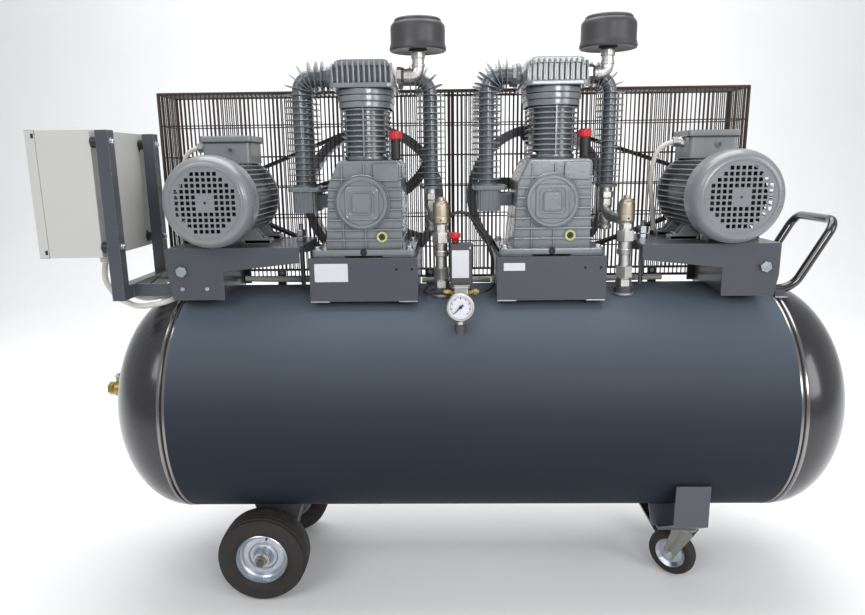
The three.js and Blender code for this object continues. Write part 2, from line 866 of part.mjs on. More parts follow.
// Pair of belts as one loop: the outer line of both pulleys, as wide as both grooves.
function driveBelt(u) {
  const big = [u.x, PUMP.crankZ, CRANK.flywheelRadius];
  const small = [u.motorX, MOTOR.axisZ, MOTOR.pulleyRadius];
  const [front] = CRANK.flywheelY;
  const loop = (grow) => {
    const [x1, z1, r1] = big;
    const [x2, z2, r2] = small;
    const along = Math.atan2(z2 - z1, x2 - x1);
    const lean = Math.acos((r1 - r2) / Math.hypot(x2 - x1, z2 - z1));
    const points = [];
    const arc = (x, z, r, from, to, steps) => {
      for (let i = 0; i <= steps; i++) {
        const a = from + ((to - from) * i) / steps;
        points.push([x + (r + grow) * Math.cos(a), z + (r + grow) * Math.sin(a)]);
      }
    };
    arc(x1, z1, r1, along + lean, along + 2 * Math.PI - lean, 18);
    arc(x2, z2, r2, along - lean, along + lean, 8);
    return points;
  };
  return cut(prism("y", loop(9), front + 9, front + 47), prism("y", loop(2.6), front + 8, front + 48));
}

// ---------------------------------------------------------------- belt guard
// Two wire-mesh boxes that meet in the middle: edge bars, and a few of the wires.
function beltGuard() {
  const { x, y, z, bar, midX } = GUARD;
  const post = bar / 2 + 0.5; // posts stand a little proud of the rails, and the rails of the ties
  const tie = bar / 2 - 0.5;
  const parts = [];
  for (const yy of y) {
    for (const zz of z) parts.push(bandX(x[0], x[1], yy, zz, bar));
    for (const xx of [x[0], midX, x[1]])
      parts.push(block(xx - post, xx + post, yy - post, yy + post, z[0] - post, z[1] + post));
  }
  for (const xx of [x[0], midX, x[1]])
    for (const zz of z) parts.push(block(xx - tie, xx + tie, y[0], y[1], zz - tie, zz + tie));
  for (const yy of y) parts.push(bandX(x[0], x[1], yy, (z[0] + z[1]) / 2, 4));
  const wires = 6;
  for (const yy of y)
    for (let i = 1; i < wires; i++) {
      const xx = x[0] + (i * (x[1] - x[0])) / wires;
      parts.push(block(xx - 1.5, xx + 1.5, yy - 1.5, yy + 1.5, z[0], z[1]));
    }
  for (const footX of [-540, -120, 60, 500])
    parts.push(block(footX - 12, footX + 12, y[0] - 3, y[0] + 3, 789, z[0] + 1));
  const holes = guardHoles();
  const rims = holes.map((at) => rod("y", HOLE_RADIUS + 5, y[0] - 2.5, y[0] + 2.5, at, 16));
  const openings = holes.map((at) => rod("y", HOLE_RADIUS, y[0] - 9, y[0] + 9, at, 16));
  return cut(join(parts, rims), openings);
}

function bandX(x0, x1, y, z, size) {
  return block(x0, x1, y - size / 2, y + size / 2, z - size / 2, z + size / 2);
}

// Round holes in the front of the guard, for the crankshafts and the motor shafts.
const HOLE_RADIUS = 82;

function guardHoles() {
  return UNITS.flatMap((u) => [
    [u.x, PUMP.crankZ],
    [u.motorX, MOTOR.axisZ],
  ]);
}

// ---------------------------------------------------------------- control enclosure
const CABIN = { x: [-1024, -896], y: [-193, 100], z: [911, 1208], doorX: -1047 };

function enclosureBox() {
  const { x, y, z } = CABIN;
  const shell = cut(
    block(x[0], x[1], y[0], y[1], z[0], z[1]),
    block(x[0] - 1, x[1] - 2, y[0] + 2, y[1] - 2, z[0] + 2, z[1] - 2),
  );
  const contactors = block(x[1] - 60, x[1] - 1, -120, 30, 1000, 1120);
  const glands = [-130, -92].map((yy) => rod("z", 13, z[0] - 22, z[0] + 3, [x[1] - 26, yy], 12));
  const hinges = [z[0] + 40, z[1] - 70].map((zz) => rod("z", 4, zz, zz + 30, [x[0] - 4.4, y[1] + 5], 8));
  const tabs = [z[0] + 40, z[1] - 70].flatMap((zz) => [
    block(x[0], x[0] + 20, y[1] - 1, y[1] + 5, zz, zz + 30),
    block(x[0] - 5, x[0] + 1, y[1] + 1, y[1] + 5, zz, zz + 30),
  ]);
  return join(shell, contactors, glands, hinges, tabs);
}

function enclosureDoor() {
  const { x, y, z, doorX } = CABIN;
  const [lowZ, highZ] = z;
  const skin = block(doorX, x[0] - GAP, y[0] - 1, y[1] - 0.5, lowZ - 1, highZ + 1);
  const hollow = block(doorX + 2, x[0] + 1, y[0] + 1, y[1] - 2.5, lowZ + 1, highZ - 1);
  const locks = [lowZ + 40, highZ - 40].map((zz) => rod("x", 9, doorX - 3, doorX + 1, [y[0] + 24, zz], 12));
  return join(cut(skin, hollow), locks);
}

// Two uprights on a base bar, reaching back to the left motor stand, with rubber buffers to the box.
function enclosureBracket() {
  const barX = [-880, -850];
  const uprights = [
    block(barX[0], barX[1], -200, -170, 806, 1207),
    block(barX[0], barX[1], 52, 82, 806, 1207),
  ];
  const sill = block(barX[0], barX[1], -200, 82, 806, 840);
  const armY = PLATE_Y[0] + 2 * SHEET + 2 * GAP;
  const arm = block(barX[1] - 2, UNITS[0].pivotX - 14 - GAP, armY, armY + SHEET, 808, 840);
  const link = block(barX[1] - 8, barX[1], -172, armY + SHEET, 808, 840);
  const standoffs = [];
  for (const y of [-185, 67])
    for (const z of [1180, 935]) standoffs.push(rod("x", 12, CABIN.x[1] + GAP, barX[0] + 1, [y, z]));
  return join(uprights, sill, arm, link, standoffs);
}

// ---------------------------------------------------------------- controls and fittings
function pressureSwitch() {
  const z = 792 + GAP;
  const body = block(-67, -12, -146, -96, 829, 929);
  const lid = block(-64, -15, -148, -144, 833, 925);
  const manifold = block(-55, -24, -136, -104, z + 6, 830);
  const cross = rod("x", 8, -84, 6, [-120, z + 14], 12);
  const ends = [rod("x", 11, -84, -72, [-120, z + 14], 6), rod("x", 11, -6, 6, [-120, z + 14], 6)];
  const stem = rod("z", 10, z, z + 12, [-39, -120], 12);
  const knobHole = rod("z", 5.5, 900, 930, [-54, -120], 12);
  return cut(join(body, lid, manifold, cross, ends, stem), knobHole);
}

function switchKnob() {
  return turned(
    "z",
    [
      [0, 908],
      [5, 908],
      [5, 937],
      [13, 938],
      [14, 950],
      [11, 956],
      [0, 956],
    ],
    [-54, -120],
    12,
  );
}

const GAUGE = { x: -43, y: -214, z: 787, radius: 33 };

function gaugeCase() {
  const { x, y, z, radius: r } = GAUGE;
  const body = turned(
    "y",
    [
      [0, y + 26],
      [r - 4, y + 26],
      [r, y + 20],
      [r + 1, y + 2],
      [r - 1, y - 3],
      [r - 4, y - 3],
      [r - 4, y + 4],
      [0, y + 4],
    ],
    [x, z],
    16,
  );
  const neck = rod("z", 8, 742 + GAP, z - 20, [x, y + 14]);
  return join(body, neck, rod("z", 12, 742 + GAP, 751, [x, y + 14], 6), rod("y", 2.5, y, y + 6, [x, z], 8));
}

function gaugeNeedle() {
  const { x, y, z } = GAUGE;
  const lean = THREE.MathUtils.degToRad(-135);
  const hand = new THREE.BoxGeometry(2.4, 1, 26);
  hand.translate(0, y - 0.8, 9).rotateY(lean).translate(x, 0, z);
  return join(toSolid(hand), rod("y", 4, y - 1.8, y - GAP, [x, z], 12));
}

function outletValve() {
  const z = TANK.axisZ + 15;
  const from = -962 - GAP;
  const body = turned(
    "x",
    [
      [0, from],
      [17, from],
      [17, from - 10],
      [22, from - 14],
      [22, from - 34],
      [17, from - 38],
      [17, from - 52],
      [0, from - 52],
    ],
    [0, z],
    12,
  );
  return join(body, rod("z", 8, z + 15, z + 34, [from - 24, 0], 12));
}

function outletLever() {
  const z = TANK.axisZ + 15 + 34 + GAP;
  const x = -962 - GAP - 24;
  return join(block(x - 12, x + 12, -12, 70, z, z + 3), rod("z", 7, z + 1, z + 9, [x, 0], 6));
}

// ---------------------------------------------------------------- assembly
node("tank", tank(), TANK_BLUE);
node("axle_bracket", axleBracket(), SLATE);
for (const [name, sign] of [["front", -1], ["back", 1]]) {
  node(`wheel_${name}_rim`, wheelRim(sign), ZINC);
  node(`wheel_${name}_tyre`, wheelTyre(sign), RUBBER);
  node(`caster_${name}_fork`, casterFork(sign), ZINC);
  node(`caster_${name}_wheel`, casterWheel(sign), RUBBER);
}
node("caster_bracket", casterBracket(), SLATE);
node("pull_handle", pullHandle(), BLACK);
node("belt_guard", beltGuard(), MESH_WIRE);
node("enclosure_box", enclosureBox(), CABINET);
node("enclosure_door", enclosureDoor(), CABINET);
node("enclosure_bracket", enclosureBracket(), SLATE);
node("pressure_switch", pressureSwitch(), BLACK);
node("switch_knob", switchKnob(), RED);
node("gauge_case", gaugeCase(), ZINC);
node("gauge_needle", gaugeNeedle(), BLACK);
node("outlet_valve", outletValve(), BRASS);
node("outlet_valve_lever", outletLever(), RED);
for (const u of UNITS) {
  node(`pump_bracket_${u.name}`, pumpBracket(u), SLATE);
  node(`crankcase_${u.name}`, crankcase(u), PAINT);
  node(`crank_cover_${u.name}`, crankCover(u), PAINT);
  node(`crankshaft_${u.name}`, crankshaft(u), STEEL);
  node(`flywheel_${u.name}`, flywheel(u), BLACK);
  node(`cylinder_block_${u.name}`, cylinderBlock(u), PAINT);
  node(`cylinder_head_${u.name}`, cylinderHead(u), PAINT);
  node(`intercooler_${u.name}`, intercooler(u), PAINT);
  node(`aftercooler_${u.name}`, aftercooler(u), PAINT);
  node(`intake_pipe_${u.name}`, intakePipe(u), ZINC);
  node(`air_filter_${u.name}`, airFilter(u), BLACK);
  node(`breather_${u.name}`, breather(u), RED);
  node(`outlet_stack_${u.name}`, outletStack(u), ZINC);
  node(`motor_stand_${u.name}`, motorStand(u), SLATE);
  node(`motor_plate_${u.name}`, motorPlate(u), SLATE);
  node(`motor_housing_${u.name}`, motorHousing(u), PAINT);
  node(`fan_cover_${u.name}`, fanCover(u), PAINT);
  node(`motor_rotor_${u.name}`, motorRotor(u), STEEL);
  node(`drive_belt_${u.name}`, driveBelt(u), RUBBER);
}

// The row's origin is the middle of the bounding box, on the floor.
const bounds = new THREE.Box3().setFromObject(root);
const centre = bounds.getCenter(new THREE.Vector3());
root.position.set(-centre.x, -centre.y, -bounds.min.z);

export default root;
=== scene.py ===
"""Looks of the wheeled two-pump tank compressor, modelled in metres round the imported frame."""
import json
import math
from types import SimpleNamespace

import bmesh
import bpy
from mathutils import Matrix, Vector


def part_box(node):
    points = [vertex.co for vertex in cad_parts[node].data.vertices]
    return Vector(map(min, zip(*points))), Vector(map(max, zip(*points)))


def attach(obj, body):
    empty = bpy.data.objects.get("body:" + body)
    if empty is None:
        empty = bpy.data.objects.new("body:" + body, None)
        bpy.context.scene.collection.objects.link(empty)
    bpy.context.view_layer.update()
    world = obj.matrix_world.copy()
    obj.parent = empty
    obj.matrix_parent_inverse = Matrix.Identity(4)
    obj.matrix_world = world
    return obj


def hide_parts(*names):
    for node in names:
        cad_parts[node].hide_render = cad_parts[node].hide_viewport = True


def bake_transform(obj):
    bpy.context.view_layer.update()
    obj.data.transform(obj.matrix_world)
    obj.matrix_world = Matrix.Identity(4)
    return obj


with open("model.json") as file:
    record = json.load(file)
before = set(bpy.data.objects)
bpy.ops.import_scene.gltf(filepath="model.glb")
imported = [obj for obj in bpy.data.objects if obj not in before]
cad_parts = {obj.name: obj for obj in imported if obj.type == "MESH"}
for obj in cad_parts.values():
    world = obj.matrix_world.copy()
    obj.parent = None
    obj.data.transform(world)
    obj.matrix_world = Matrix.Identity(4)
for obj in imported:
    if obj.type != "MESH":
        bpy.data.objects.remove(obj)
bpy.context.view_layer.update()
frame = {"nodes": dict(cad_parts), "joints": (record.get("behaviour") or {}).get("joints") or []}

X, Y, Z = Vector((1, 0, 0)), Vector((0, 1, 0)), Vector((0, 0, 1))
TURN = 2 * math.pi
SHARP = math.radians(34)
UNITS = ("left", "right")
JOINTS = {joint["name"]: joint for joint in frame["joints"]}


def box(node):
    """Limits and middle of a CAD node."""
    low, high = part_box(node)
    mid = (low + high) / 2
    return SimpleNamespace(x0=low.x, x1=high.x, y0=low.y, y1=high.y, z0=low.z, z1=high.z,
                           x=mid.x, y=mid.y, z=mid.z)


def pivot(joint):
    """A point on a CAD hinge's axis."""
    return Vector(JOINTS[joint]["pos_m"])


# ------------------------------------------------------------------ finishes
def rgb(red, green, blue):
    """Linear colour from 0-255 screen values."""
    values = [v / 255 for v in (red, green, blue)]
    return (*[v / 12.92 if v <= 0.04045 else ((v + 0.055) / 1.055) ** 2.4 for v in values], 1.0)


def shade(color, factor):
    """Lighter or darker colour."""
    return (*[min(1.0, c * factor) for c in color[:3]], 1.0)


class Finish:
    """A node material whose textures are laid out in the piece's own metres."""

    def __init__(self, name):
        self.material = bpy.data.materials.new(name)
        self.material.use_nodes = True
        self.tree = self.material.node_tree
        self.shader = self.tree.nodes["Principled BSDF"]
        self.place = self.node("TexCoord").outputs["Object"]

    def feed(self, socket, value):
        if isinstance(value, bpy.types.NodeSocket):
            self.tree.links.new(value, socket)
        else:
            socket.default_value = value

    def node(self, kind, inputs=None, **settings):
        made = self.tree.nodes.new("ShaderNode" + kind)
        for key, value in settings.items():
            setattr(made, key, value)
        for key, value in (inputs or {}).items():
            self.feed(made.inputs[key], value)
        return made

    def set(self, **inputs):
        for key, value in inputs.items():
            self.feed(self.shader.inputs[key.replace("_", " ")], value)

    def noise(self, scale, detail=3.0, stretch=(1, 1, 1)):
        place = self.node("Mapping", {"Vector": self.place, "Scale": stretch}).outputs[0]
        return self.node("TexNoise", {"Vector": place, "Scale": scale, "Detail": detail}).outputs[0]

    def spread(self, value, low, high, to_low=0.0, to_high=1.0):
        inputs = {"Value": value, "From Min": low, "From Max": high, "To Min": to_low, "To Max": to_high}
        return self.node("MapRange", inputs).outputs[0]

    def mix(self, share, first, second):
        return self.node("Mix", {0: share, 6: first, 7: second}, data_type="RGBA").outputs[2]

    def maths(self, operation, first, second):
        return self.node("Math", {0: first, 1: second}, operation=operation).outputs[0]

    def edge(self, radius):
        """1 along the rim of a sharp edge, 0 on flat faces."""
        soft = self.node("Bevel", {"Radius": radius}, samples=4).outputs[0]
        flat = self.node("NewGeometry").outputs["Normal"]
        level = self.node("VectorMath", {0: soft, 1: flat}, operation="DOT_PRODUCT").outputs["Value"]
        return self.spread(level, 0.985, 0.93)

    def bump(self, height, strength, distance=0.001):
        inputs = {"Height": height, "Strength": strength, "Distance": distance}
        self.set(Normal=self.node("Bump", inputs).outputs[0])


DUST = rgb(150, 143, 132)
BARE = rgb(176, 176, 172)


def finish(name, color, rough, metal=0.0, coat=0.0, tint=0.08, cloud=5.0, grain=350.0, bump=0.12,
           stretch=(1, 1, 1), dust=0.0, wear=0.0, second=None):
    """Base finish: clouded colour and gloss, fine grain, dust on upward faces and rubbed edges."""
    f = Finish(name)
    clouds = f.noise(cloud, 4)
    fine = f.noise(grain, 3, stretch)
    high = second or shade(color, 1 + tint)
    paint = f.mix(f.spread(clouds, 0.38, 0.62), shade(color, 1 - tint), high)
    paint = f.mix(f.spread(fine, 0.3, 0.7, 0, 0.35), paint, shade(color, 1 - 1.5 * tint))
    gloss = f.spread(clouds, 0.3, 0.7, rough * 0.85, rough * 1.2)
    if dust:
        upward = f.node("SeparateXYZ", {0: f.node("NewGeometry").outputs["Normal"]}).outputs["Z"]
        settled = f.spread(f.noise(28, 6), 0.35, 0.7, 0.2, 1)
        layer = f.maths("MULTIPLY", f.spread(upward, 0.5, 1, 0, dust), settled)
        paint = f.mix(layer, paint, DUST)
        gloss = f.maths("ADD", gloss, f.maths("MULTIPLY", layer, 0.5))
    if wear:
        worn = f.spread(f.noise(90, 4), 0.42, 0.6, 0, wear)
        rubbed = f.maths("MULTIPLY", f.edge(0.0012), worn)
        paint = f.mix(rubbed, paint, BARE)
    f.set(Base_Color=paint, Roughness=gloss, Metallic=metal, Coat_Weight=coat, Coat_Roughness=0.12)
    f.bump(fine, bump)
    return f.material


def cast(name, color, rough, coat):
    """Glossy paint over a sand casting: shallow pits under an even film, and painted shade that darkens the
    creases between ribs and parts.
    """
    f = Finish(name)
    clouds = f.noise(7, 5)
    pits = f.noise(160, 5)
    film = f.noise(900, 2)
    paint = f.mix(f.spread(clouds, 0.35, 0.65), shade(color, 0.92), shade(color, 1.07))
    # Painted shade: the paint turns near black where ambient occlusion finds creases, recesses and gaps
    # between parts.
    occlusion_for_painted_shade = f.node("AmbientOcclusion", {"Distance": 0.012}, samples=4).outputs["AO"]
    paint = f.mix(f.spread(occlusion_for_painted_shade, 0.35, 0.9), shade(color, 0.3), paint)
    f.set(Base_Color=paint, Roughness=f.spread(clouds, 0.3, 0.7, rough * 0.8, rough * 1.3),
          Coat_Weight=coat, Coat_Roughness=0.1, Metallic=0.15)
    f.bump(f.maths("ADD", pits, f.maths("MULTIPLY", film, 0.15)), 0.35, 0.0012)
    return f.material


def plated(name, color, second, rough):
    """Zinc or nickel plate: broad coloured clouds and small frosted spots."""
    f = Finish(name)
    clouds = f.noise(26, 5)
    cells = f.node("TexVoronoi", {"Vector": f.place, "Scale": 240.0}).outputs["Distance"]
    frosted = f.spread(cells, 0, 0.8, 0, 0.1)
    gloss = f.maths("ADD", frosted, f.spread(clouds, 0.3, 0.7, rough, rough * 1.5))
    f.set(Base_Color=f.mix(f.spread(clouds, 0.4, 0.6), color, second), Metallic=1.0, Roughness=gloss)
    f.bump(f.noise(600, 2), 0.08)
    return f.material


def glass(name, color):
    """Glossy dark oil behind a window."""
    f = Finish(name)
    f.set(Base_Color=f.mix(f.noise(160, 4), color, shade(color, 0.4)), Roughness=0.08, Coat_Weight=1.0)
    return f.material


def tank_wrap():
    """Satin slate blue with painted shade and light: darker towards the underside of the tank, paler towards
    its top.
    """
    f = Finish("tank_wrap")
    height = f.node("SeparateXYZ", {0: f.place}).outputs["Z"]
    clouds = f.noise(2.5, 4)
    film = f.noise(1200, 2)
    # Painted shade and light: the colour darkens steeply with height, from the top of the tank down to its
    # underside.
    painted_shade_z, painted_light_z, painted_shade_curve = 0.15, 0.78, 3.8
    level = f.maths("POWER", f.spread(height, painted_shade_z, painted_light_z), painted_shade_curve)
    level = f.maths("ADD", level, f.spread(clouds, 0.3, 0.7, -0.02, 0.02))
    paint = f.mix(level, rgb(27, 32, 43), rgb(90, 100, 110))
    f.set(Base_Color=paint, Roughness=f.spread(clouds, 0.3, 0.7, 0.5, 0.6), Specular_IOR_Level=0.14)
    f.bump(film, 0.05)
    return f.material


WRAP = tank_wrap()
END = finish("tank_end_paint", rgb(47, 46, 49), 0.26, metal=0.35, coat=0.5, tint=0.05, cloud=3,
             grain=500, bump=0.06)
SEAM = finish("seam_metal", rgb(150, 147, 146), 0.17, metal=1.0, grain=900, stretch=(0.1, 1, 1))
SLATE = finish("slate_paint", rgb(66, 68, 77), 0.4, coat=0.25, tint=0.03, cloud=3, grain=700, wear=0.5)
PUMP = cast("pump_paint", rgb(120, 125, 129), 0.28, 0.6)
COOLER = finish("cooler_paint", rgb(106, 112, 117), 0.3, coat=0.4, tint=0.08, cloud=14, grain=400, dust=0.1)
MOTOR = finish("motor_paint", rgb(122, 125, 128), 0.3, coat=0.35, tint=0.04, cloud=9, grain=700, dust=0.12)
ZINC = plated("bright_zinc", rgb(186, 193, 201), rgb(196, 200, 206), 0.22)
YELLOW_ZINC = plated("yellow_zinc", rgb(150, 146, 118), rgb(150, 152, 152), 0.28)
NICKEL = plated("nickel", rgb(206, 203, 198), rgb(214, 212, 208), 0.3)
VALVE = plated("valve_brass", rgb(182, 170, 152), rgb(190, 180, 165), 0.34)
BRASS = plated("brass", rgb(166, 142, 84), rgb(178, 158, 104), 0.28)
PIPE = finish("bright_pipe", rgb(206, 202, 198), 0.32, metal=0.85, tint=0.06, cloud=18, grain=900)
STEEL = finish("machined_steel", rgb(168, 168, 168), 0.28, metal=1.0, grain=900, stretch=(1, 8, 1), bump=0.1)
IRON = finish("flywheel_paint", rgb(118, 121, 126), 0.4, coat=0.2, tint=0.1, cloud=12, grain=300, bump=0.25)
TYRE = finish("tyre_rubber", rgb(39, 35, 33), 0.72, tint=0.14, cloud=16, grain=500, bump=0.35, dust=0.12)
BELT = finish("belt_rubber", rgb(40, 38, 38), 0.7, tint=0.2, cloud=30, grain=700, bump=0.3)
WIRE = finish("guard_wire", rgb(58, 46, 41), 0.42, metal=0.25, tint=0.15, cloud=20, grain=300)
CABINET = finish("cabinet_coat", rgb(188, 188, 184), 0.5, tint=0.02, cloud=3, grain=900, bump=0.25)
HANDLE = finish("handle_paint", rgb(52, 50, 50), 0.16, metal=0.4, coat=0.8, tint=0.1, grain=500)
FILTER = finish("filter_plastic", rgb(60, 58, 60), 0.42, tint=0.06, cloud=9, grain=600, bump=0.2)
BLACK = finish("black_plastic", rgb(30, 29, 30), 0.4, tint=0.1, grain=700, bump=0.2)
DARK_GREY = finish("grey_plastic", rgb(72, 71, 75), 0.45, tint=0.05, grain=900, bump=0.2)
RED = finish("red_plastic", rgb(188, 24, 34), 0.35, coat=0.3, tint=0.06, grain=600)
CABLE = finish("cable_jacket", rgb(206, 203, 195), 0.5, tint=0.04, cloud=24, grain=500)
LABEL = finish("blank_label", rgb(203, 204, 208), 0.5, tint=0.015, cloud=40, grain=1200, bump=0.05)
DIAL = finish("dial_face", rgb(212, 212, 220), 0.35, tint=0.01, cloud=30, coat=0.3)
INK = finish("dial_ink", rgb(24, 24, 26), 0.5, tint=0.1)
# Near black: painted shade standing in for holes, slots, vents, bores, grooves and recesses, and also the
# dark centre dot of the oil glass.
DARK = finish("painted_recess_shade_and_dark_dot", rgb(16, 16, 18), 0.8, tint=0.2)
GLASS_RIM = finish("sight_glass_rim", rgb(176, 184, 120), 0.25, coat=0.6, tint=0.06, cloud=60)
SIGHT = glass("sight_glass", rgb(62, 60, 34))
WELD = finish("weld_bead", rgb(150, 150, 154), 0.34, metal=0.5, grain=160, bump=0.7, tint=0.15)


# ------------------------------------------------------------------ shapes
def aim(at, axis, roll=0.0):
    """Matrix whose local Z runs along axis from the point at."""
    turn = Vector(axis).to_track_quat("Z", "X").to_matrix().to_4x4()
    return Matrix.Translation(at) @ turn @ Matrix.Rotation(roll, 4, "Z")


def place(axis, p, q, along):
    """Point from its two cross coordinates and its distance along a named axis."""
    return {"x": (along, p, q), "y": (p, along, q), "z": (p, q, along)}[axis]


def rounded(points, bend, steps=8, closed=False):
    """Path through the points with its corners turned into arcs that start `bend` from each corner."""
    corners = [Vector(p) for p in points]
    count = len(corners)
    path = [] if closed else [corners[0]]
    for i in range(0 if closed else 1, count if closed else count - 1):
        corner = corners[i]
        before = (corners[i - 1] - corner).normalized()
        after = (corners[(i + 1) % count] - corner).normalized()
        half = before.angle(after) / 2
        if math.pi / 2 - half < 0.02:
            path.append(corner)
            continue
        centre = corner + (before + after).normalized() * (bend / math.cos(half))
        first = corner + before * bend - centre
        last = corner + after * bend - centre
        sweep = first.angle(last)
        for k in range(steps + 1):
            share = k / steps
            arm = first * math.sin((1 - share) * sweep) + last * math.sin(share * sweep)
            path.append(centre + arm / math.sin(sweep))
    if not closed:
        path.append(corners[-1])
    return path


def round_rect(x0, x1, y0, y1, radius, steps=5):
    """Outline of a rectangle with round corners, as pairs."""
    corners = [(x0, y0, 0), (x1, y0, 0), (x1, y1, 0), (x0, y1, 0)]
    return [(p.x, p.y) for p in rounded(corners, radius, steps, closed=True)]


def stadium(x, y0, y1, radius, steps=14):
    """Outline of two half rounds joined by straight flanks, as pairs."""
    ends = ((y1, 0.0), (y0, math.pi))
    return [(x + radius * math.cos(a), y + radius * math.sin(a))
            for y, start in ends for a in (start + math.pi * i / steps for i in range(steps + 1))]


def spoke(angle):
    """Unit vector in the upright plane that faces the front; angle 0 points to +X."""
    return Vector((math.cos(angle), 0, math.sin(angle)))


def polar(at, radius, angle):
    """Point on an upright circle that faces the front."""
    return at + spoke(angle) * radius


def level_arm(share):
    """Level unit vector, a share of a turn round from +X."""
    return Vector((math.cos(TURN * share), math.sin(TURN * share), 0))


def upright(x, y):
    """Where an upright axis meets the floor."""
    return Vector((x, y, 0))


class Shape:
    """Closed solids gathered into one piece; each solid has one finish."""

    def __init__(self):
        self.points, self.faces, self.paints = [], [], []

    def add(self, points, faces, paint, soft=0.0):
        """Adds one solid, facing out, with its sharp edges rounded by `soft`."""
        bm = bmesh.new()
        made = [bm.verts.new(p) for p in points]
        for face in faces:
            bm.faces.new([made[i] for i in face])
        bmesh.ops.recalc_face_normals(bm, faces=bm.faces)
        if soft:
            edges = [e for e in bm.edges if len(e.link_faces) == 2 and e.calc_face_angle() > SHARP]
            bmesh.ops.bevel(bm, geom=edges, offset=soft, segments=2, profile=0.5, affect="EDGES",
                            clamp_overlap=True)
        bm.verts.index_update()
        start = len(self.points)
        self.points += [v.co.copy() for v in bm.verts]
        self.faces += [[start + v.index for v in face.verts] for face in bm.faces]
        self.paints += [paint] * len(bm.faces)
        bm.free()

    def bridge(self, points, paint, soft=0.0):
        """Solid between two equal outlines, listed one after the other."""
        count = len(points) // 2
        faces = [list(range(count)), list(range(2 * count - 1, count - 1, -1))]
        faces += [[i, (i + 1) % count, count + (i + 1) % count, count + i] for i in range(count)]
        self.add(points, faces, paint, soft)

    def prism(self, axis, outline, start, end, paint, soft=0.0):
        """Flat outline pushed along an axis; pairs are (y, z), (x, z) or (x, y)."""
        self.bridge([place(axis, p, q, along) for along in (start, end) for p, q in outline], paint, soft)

    def block(self, x0, x1, y0, y1, z0, z1, paint, soft=0.001):
        """Square-cornered box between its limits."""
        self.prism("z", [(x0, y0), (x1, y0), (x1, y1), (x0, y1)], z0, z1, paint, soft)

    def lathe(self, at, axis, profile, paint, segments=48, roll=0.0, soft=0.0):
        """Solid of revolution; profile is (radius, distance along axis), closed if it is off the axis."""
        matrix = aim(at, axis, roll)
        loop = profile[0][0] > 0
        rings, points, faces = [], [], []
        for radius, along in profile:
            turns = segments if radius > 0 else 1
            rings.append(range(len(points), len(points) + turns))
            points += [matrix @ (level_arm(k / segments) * radius + Z * along) for k in range(turns)]
        pairs = list(zip(rings, rings[1:])) + ([(rings[-1], rings[0])] if loop else [])
        for a, b in pairs:
            for k in range(segments):
                n = (k + 1) % segments
                if len(a) == 1 and len(b) == 1:
                    continue
                if len(a) == 1:
                    faces.append([a[0], b[n], b[k]])
                elif len(b) == 1:
                    faces.append([a[k], a[n], b[0]])
                else:
                    faces.append([a[k], a[n], b[n], b[k]])
        self.add(points, faces, paint, soft)

    def rod(self, at, axis, radius, start, end, paint, segments=32, soft=0.0008, roll=0.0):
        """Round bar between two distances along its axis, with its rims bevelled."""
        soft = min(soft, radius / 3, (end - start) / 3)
        profile = [(0, start), (radius - soft, start), (radius, start + soft), (radius, end - soft),
                   (radius - soft, end), (0, end)]
        self.lathe(at, axis, profile, paint, segments, roll)

    def hexagon(self, at, axis, radius, start, end, paint, roll=0.0):
        """Nut or bolt head; radius is to its corners."""
        self.rod(at, axis, radius, start, end, paint, 6, 0.0009, roll)

    def bolt(self, at, axis, radius, paint=None):
        """Washer and hex head standing on the point at."""
        paint = paint or ZINC
        self.rod(at, axis, radius * 1.45, 0, radius * 0.2, paint, 24, 0.0003)
        self.hexagon(at, axis, radius, radius * 0.2, radius * 0.95, paint)

    def ring(self, at, axis, radius, thick, paint, segments=64, steps=10):
        """Torus round an axis."""
        profile = [(radius + thick * math.cos(TURN * k / steps), thick * math.sin(TURN * k / steps))
                   for k in range(steps)]
        self.lathe(at, axis, profile, paint, segments)

    def sweep(self, path, section, paint, closed=False):
        """Section, given as (sideways, up) pairs, carried along a path."""
        count, size = len(path), len(section)
        points, side = [], None
        for i, p in enumerate(path):
            before = path[i - 1] if closed or i else p
            after = path[(i + 1) % count] if closed or i < count - 1 else p
            along = (after - before).normalized()
            if side is None:
                helper = Z if abs(along.z) < 0.9 else X
                side = along.cross(helper).normalized()
            side = (side - along * side.dot(along)).normalized()
            up = side.cross(along)
            points += [p + side * s + up * t for s, t in section]
        faces = []
        for i in range(count if closed else count - 1):
            a, b = i * size, ((i + 1) % count) * size
            faces += [[a + k, a + (k + 1) % size, b + (k + 1) % size, b + k] for k in range(size)]
        if not closed:
            faces += [list(range(size)), list(range(len(points) - 1, len(points) - 1 - size, -1))]
        self.add(points, faces, paint)

    def tube(self, points, radius, paint, bend=0.0, sides=16, closed=False):
        """Round bar along a path whose corners turn into bends."""
        path = rounded(points, bend, closed=closed) if bend else [Vector(p) for p in points]
        section = [(radius * math.cos(TURN * k / sides), radius * math.sin(TURN * k / sides))
                   for k in range(sides)]
        self.sweep(path, section, paint, closed)

    def finned(self, points, bend, radius, fin, pitch, paint, clear=0.0):
        """Tube with thin round fins at an even pitch, leaving `clear` bare at its end."""
        self.tube(points, radius, paint, bend, 24)
        path = rounded(points, bend, 16)
        ahead, walked = pitch / 2, 0.0
        total = sum((b - a).length for a, b in zip(path, path[1:]))
        for a, b in zip(path, path[1:]):
            length = (b - a).length
            while ahead < walked + length and ahead < total - clear:
                at = a + (b - a) * ((ahead - walked) / length)
                root, root_half, tip_half = radius * 0.9, 0.0024, 0.0008
                profile = [(root, -root_half), (fin, -tip_half), (fin, tip_half), (root, root_half)]
                self.lathe(at, b - a, profile, paint, 32)
                ahead += pitch
            walked += length

